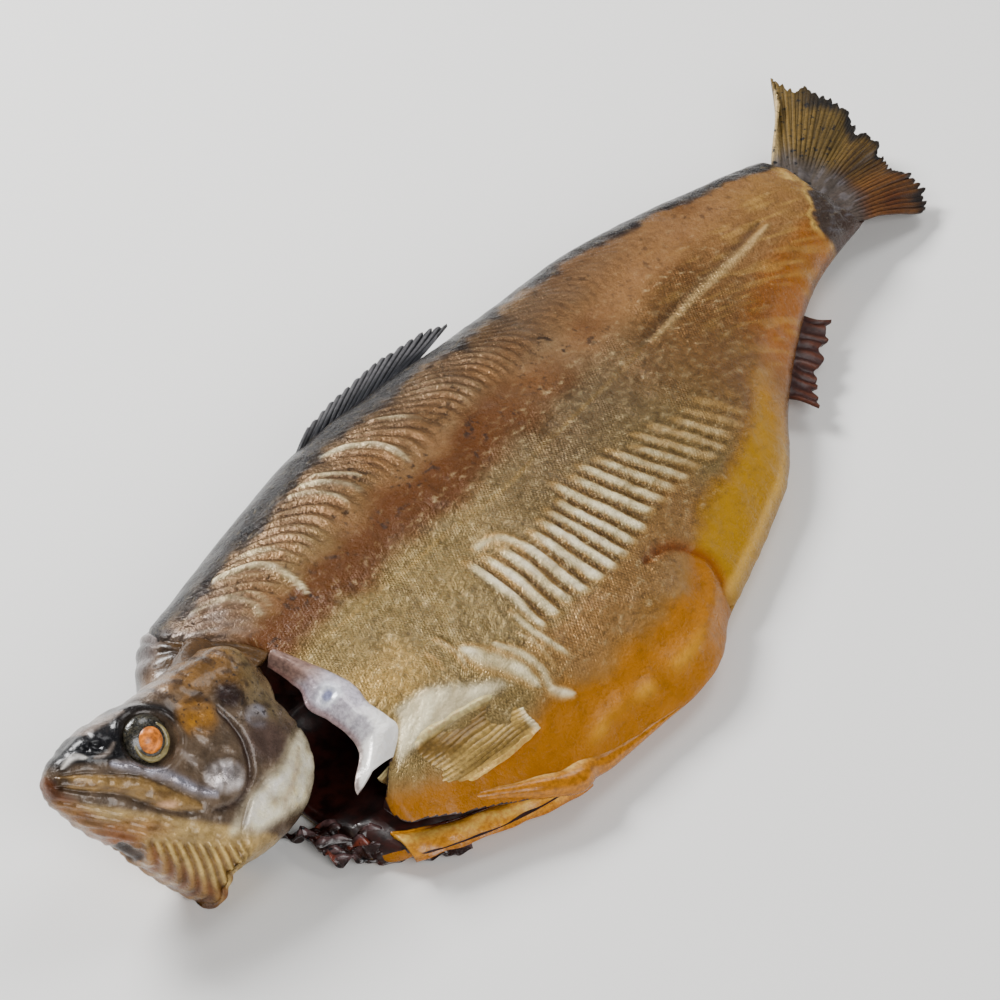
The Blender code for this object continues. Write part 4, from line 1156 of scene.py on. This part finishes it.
def lower_lip():
    """The golden edge of the lower belly wall under the slit, ending in a flat tip at the throat."""
    s, t = shares(36, 150)
    x = 35.5 + 42 * s
    wave = 0.6 * rough(x, 0, 5, 121)
    outer = np.stack([x, bend(TRUNK_X, BELLY_Y, x) - 0.4 + wave, bend(SLIT_X, SLIT_Z, x) - 5.2 + 2.6 * s], axis=1)
    inner = np.stack([
        x + 1.5 * (1 - s), bend(TRUNK_X, BELLY_Y, x) + bend((0, 0.2, 0.6, 1), (8, 6.4, 5, 2), s),
        bend(SLIT_X, SLIT_Z, np.minimum(x, 70)) - 1.2 * bend(SLIT_X, SLIT_HALF_Z, np.minimum(x, 70)) + 0.9,
    ], axis=1)
    grid = outer + (inner - outer) * t[..., None]
    grid[..., 2] += 1.5 * np.sin(math.pi * np.clip(t * 1.1, 0, 1)) + 0.35 * rough(s * 40, t * 8, 3, 122)
    grid[..., 2] = np.maximum(grid[..., 2], 0.4)
    tint = painted(
        tone(196, 128, 22),
        # Painted highlight along the crest of the lip's bulge.
        (tone(232, 188, 96), 0.7 * band(0.35, 0.6, 0.15, t + 0.2 * rough(s * 40, t * 4, 4, 123))),
        (tone(66, 22, 12), ease(0.72, 0.95, t + 0.12 * rough(s * 40, t * 4, 2, 124)) * ease(0.08, 0.2, s)),
        (tone(150, 84, 12), 0.7 * fade(0, 0.16, t)),
    )
    return sheet("lower_lip", grid, 1.1, FLAP, tint)


def torn_tissue():
    """Dark torn gill tissue low in the throat, between the head and the belly's tip."""
    s, t = shares(100, 120)
    x = 25 + 22 * s + 0 * t
    y = bend((0, 0.5, 1), (-46, -56, -69), s) - 4 + (t - 0.5) * (16 - 5 * s) + 0.9 * rough(s * 20, t * 20, 3, 132)
    rag = rough(s * 24, t * 24, 4, 131) + 0.6 * rough(s * 24, t * 24, 1.6, 133)
    z = 2.2 + 2.4 * np.sin(math.pi * t) + 1.9 * rag
    grid = np.stack([x + 0.8 * rag, y, np.maximum(z, 0.5)], axis=-1)
    tint = painted(
        tone(34, 14, 10),
        (tone(92, 66, 66), 0.8 * ease(0.35, 0.9, rag)),
        (tone(120, 48, 26), 0.7 * ease(0.3, 0.8, rough(s * 24, t * 24, 3, 134))),
    )
    return sheet("torn_tissue", grid, 0.9, FLAP, tint, flecks=1)


# The rolled edge of the upper belly flap along X: its way in from the belly line, height and radius, and the
# angle round the trunk that its rear part follows.
RIM_X = (48, 50, 58, 66, 74, 80, 90, 108)
RIM_INWARD = (6.4, 5.7, 3.6, 1.6, 0.4, 1.6, 4, 5)
RIM_Z = (12.8, 12.6, 11.6, 9.8, 7.8, 7.6, 7.6, 7.6)
RIM_RADIUS = (0.6, 1.1, 1.7, 2.5, 3.2, 2.7, 1.8, 0.3)
RIM_ANGLE_X = (72, 80, 90, 108)
RIM_ANGLE = (3.02, 3.06, 3.1, 3.12)


def belly_rim():
    """The rolled golden edge of the upper belly flap, with a painted highlight along its upper side."""
    steps = np.arange(160)
    xs = np.linspace(RIM_X[0], RIM_X[-1], len(steps))
    ys = bend(TRUNK_X, BELLY_Y, xs) + bend(RIM_X, RIM_INWARD, xs)
    thick = bend(RIM_X, RIM_RADIUS, xs) * (1 + 0.08 * rough(xs, 0, 5, 101))
    skin = trunk_grid(xs, bend(RIM_ANGLE_X, RIM_ANGLE, xs))[0][steps, steps]
    skin[:, 1] += 0.55 * thick
    skin[:, 2] -= 0.2 * thick
    line = np.stack([xs, ys, bend(RIM_X, RIM_Z, xs)], axis=1)
    line += (skin - line) * ease(74, 84, xs)[:, None]
    size = 24
    a = round_angles(size)
    # top: how much each place round the tube faces upwards, where the highlight is painted.
    top = np.clip(np.cos(a - 2.2), 0, 1)
    tint = painted(
        tone(166, 102, 0),
        # Painted highlight along the tube's upper side.
        (tone(250, 212, 130), 0.8 * top**3 * np.clip(0.7 + 0.6 * rough(xs[:, None], 3 * a, 2.5, 102), 0, 1)),
    )
    return tube("belly_rim", line, thick, FLAP, size, tint, {"flecks": 0})


# The band of bone: its front and rear edges along X by the share of the way down the flank.
BONE_FRONT_AT = (0.4, 0.49, 0.53, 0.57, 0.63, 0.68, 0.75, 0.81, 0.838)
BONE_FRONT_X = (40.5, 39.4, 38.4, 35.8, 36.2, 36.6, 34.4, 32, 35)
BONE_REAR_AT = (0.4, 0.5, 0.57, 0.63, 0.7, 0.75, 0.8, 0.838)
BONE_REAR_X = (43, 44, 45, 45.5, 44, 45, 46, 43)


def gill_bone():
    """The silver-white band of bone on the flank's front edge, with its round spot."""
    rows, columns = 120, 40
    u = np.linspace(0.4, 0.822, rows)[:, None]
    s = np.linspace(0, 1, columns)
    front_x, rear_x = bend(BONE_FRONT_AT, BONE_FRONT_X, u), bend(BONE_REAR_AT, BONE_REAR_X, u)
    edge = trunk_grid(np.array((40.0,)), np.arccos(1 - 2 * u[:, 0]))[0][0]
    points = np.repeat(edge[:, None], columns, axis=1)
    points[..., 0] += front_x + (rear_x - front_x) * s - 41.5
    lift = 0.7 * np.sin(math.pi * s) ** 0.6 - 0.6 * blob(s, u, (0.35, 0.6), (0.3, 0.03))
    points[..., 2] += lift - 2.6 * fade(0, 0.45, s) + 0.15 * rough(u * 60, s * 6, 1.4, 111)
    v = u + 0 * s
    tint = painted(
        tone(214, 208, 214),
        (WHITE, ease(0.66, 0.76, v)),
        (tone(176, 166, 176), 0.7 * band(0.52, 0.68, 0.02, v)),
        (tone(240, 242, 250), 0.95 * blob(s, v, (0.45, 0.6), (0.4, 0.042))),
        (tone(120, 126, 168), 0.9 * blob(s, v, (0.42, 0.6), (0.2, 0.02))),
        (tone(128, 92, 74), 0.9 * fade(0.49, 0.575, v + 0.04 * rough(u * 60, s * 8, 3, 112))),
        (tone(150, 142, 156), 0.6 * ease(0.1, 0.7, rough(u * 50, s * 8, 3, 113))),
        (tone(120, 84, 76), 0.7 * fade(0.06, 0.2, s)),
    )
    return sheet("gill_bone", points, 0.9, BONE, tint)


SKIN = skin_material()
HEAD = head_material()
CAVITY = plain_wet("gill_dark", MAROON * 0.5, 0.35, 0.4, 300, 0.7)
EYE = plain_wet("eye_dark", tone(44, 40, 30), 0.2, 0.6, 1500, 0.9)
LENS = plain_wet("eye_lens", tone(214, 118, 30), 0.35, 0.15, 700, 0.5)
RIM = plain_wet("eye_rim", tone(134, 122, 80), 0.25, 0.4, 900, 0.3)
FIN = tinted("fin", 0.42, 0.08)
FLAP = tinted("golden_belly", 0.22, 0.25)
SATIN = tinted("fin_gold", 0.34, 0.25, 0.35)
BONE = tinted("gill_bone", 0.3, 0.4, 0.25)


# The lamps: name, place and size in metres, and power in watts. Each looks at the frame's origin.
LAMPS = (
    ("key", (-0.08, 0.88, 0.8), 0.4, 24),
    ("front", (-0.6, -1.0, 0.8), 0.7, 13),
    ("top", (0.6, 0.0, 1.0), 0.5, 4),
)
FLOOR_REACH = 3.0


def studio():
    """A pale floor, a large soft key from behind the fish's back, a fill from the front and a pale sky."""
    mesh = bpy.data.meshes.new("floor")
    corners = [(x * FLOOR_REACH, y * FLOOR_REACH, 0) for x, y in ((-1, -1), (1, -1), (1, 1), (-1, 1))]
    mesh.from_pydata(corners, [], [(0, 1, 2, 3)])
    floor = bpy.data.objects.new("floor", mesh)
    bpy.context.scene.collection.objects.link(floor)
    paint = Shade("floor")
    paint.put(paint.shader.inputs["Base Color"], (0.9, 0.89, 0.87))
    paint.put(paint.shader.inputs["Roughness"], 0.8)
    mesh.materials.append(paint.material)
    world = bpy.data.worlds.new("studio")
    bpy.context.scene.world = world
    world.use_nodes = True
    world.node_tree.nodes["Background"].inputs[0].default_value = (1, 1, 1, 1)
    world.node_tree.nodes["Background"].inputs[1].default_value = 0.2
    for name, place, size, power in LAMPS:
        lamp = bpy.data.lights.new(name, "AREA")
        lamp.size, lamp.energy = size, power
        obj = bpy.data.objects.new(name, lamp)
        obj.location = place
        obj.rotation_euler = Vector(place).to_track_quat("Z", "Y").to_euler()
        bpy.context.scene.collection.objects.link(obj)


# The photograph's camera: its place on the plan, its heading from +X towards +Y, tilt down and roll in degrees, its
# focal length in pixels of a picture 1000 wide, and the middle and width of the square of it that is shown.
CAMERA_AT = np.array((-378.2, -459.8, 561.05))
CAMERA_HEADING = 44.125
CAMERA_TILT = 38.501
CAMERA_ROLL = -3.906
FOCAL_PIXELS = 1771.2
SHOWN_MIDDLE = (575, 510)
SHOWN_WIDTH = 480
PICTURE_MIDDLE = 500
SENSOR_MM = 36


def camera():
    """The photograph's camera, turned to look at the fish."""
    heading, tilt, roll = (math.radians(turn) for turn in (CAMERA_HEADING, CAMERA_TILT, CAMERA_ROLL))
    view = np.array((math.cos(tilt) * math.cos(heading), math.cos(tilt) * math.sin(heading), -math.sin(tilt)))
    level = np.array((math.sin(heading), -math.cos(heading), 0))
    picture_right = math.cos(roll) * level + math.sin(roll) * np.cross(level, view)
    picture_up = np.cross(picture_right, view)
    off_x, off_y = (at - PICTURE_MIDDLE for at in SHOWN_MIDDLE)
    aim = view + (off_x * picture_right - off_y * picture_up) / FOCAL_PIXELS
    longer = np.linalg.norm(aim)
    aim = aim / longer
    right = picture_right - (picture_right @ aim) * aim
    right /= np.linalg.norm(right)
    up = np.cross(right, aim)
    data = bpy.data.cameras.new("camera")
    data.sensor_width = SENSOR_MM
    data.lens = SENSOR_MM * FOCAL_PIXELS * longer / SHOWN_WIDTH
    data.clip_start = 0.01
    obj = bpy.data.objects.new("camera", data)
    bpy.context.scene.collection.objects.link(obj)
    place = (CAMERA_AT - PLAN_ORIGIN) * MM
    turned = np.stack([right, up, -aim], axis=1)
    obj.matrix_world = Matrix([(*row, at) for row, at in zip(turned, place)] + [(0, 0, 0, 1)])
    bpy.context.scene.camera = obj


def build():
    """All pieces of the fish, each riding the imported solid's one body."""
    pieces = [trunk(), head(), neck(), nape(), *eyes(), tail_fin(), back_fin(), vent_fin()]
    pieces += [breast_fin(), belly_rim(), lower_lip(), gill_bone(), torn_tissue()]
    for piece in pieces:
        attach(piece, "root")
        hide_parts("trout")


build()
studio()
camera()
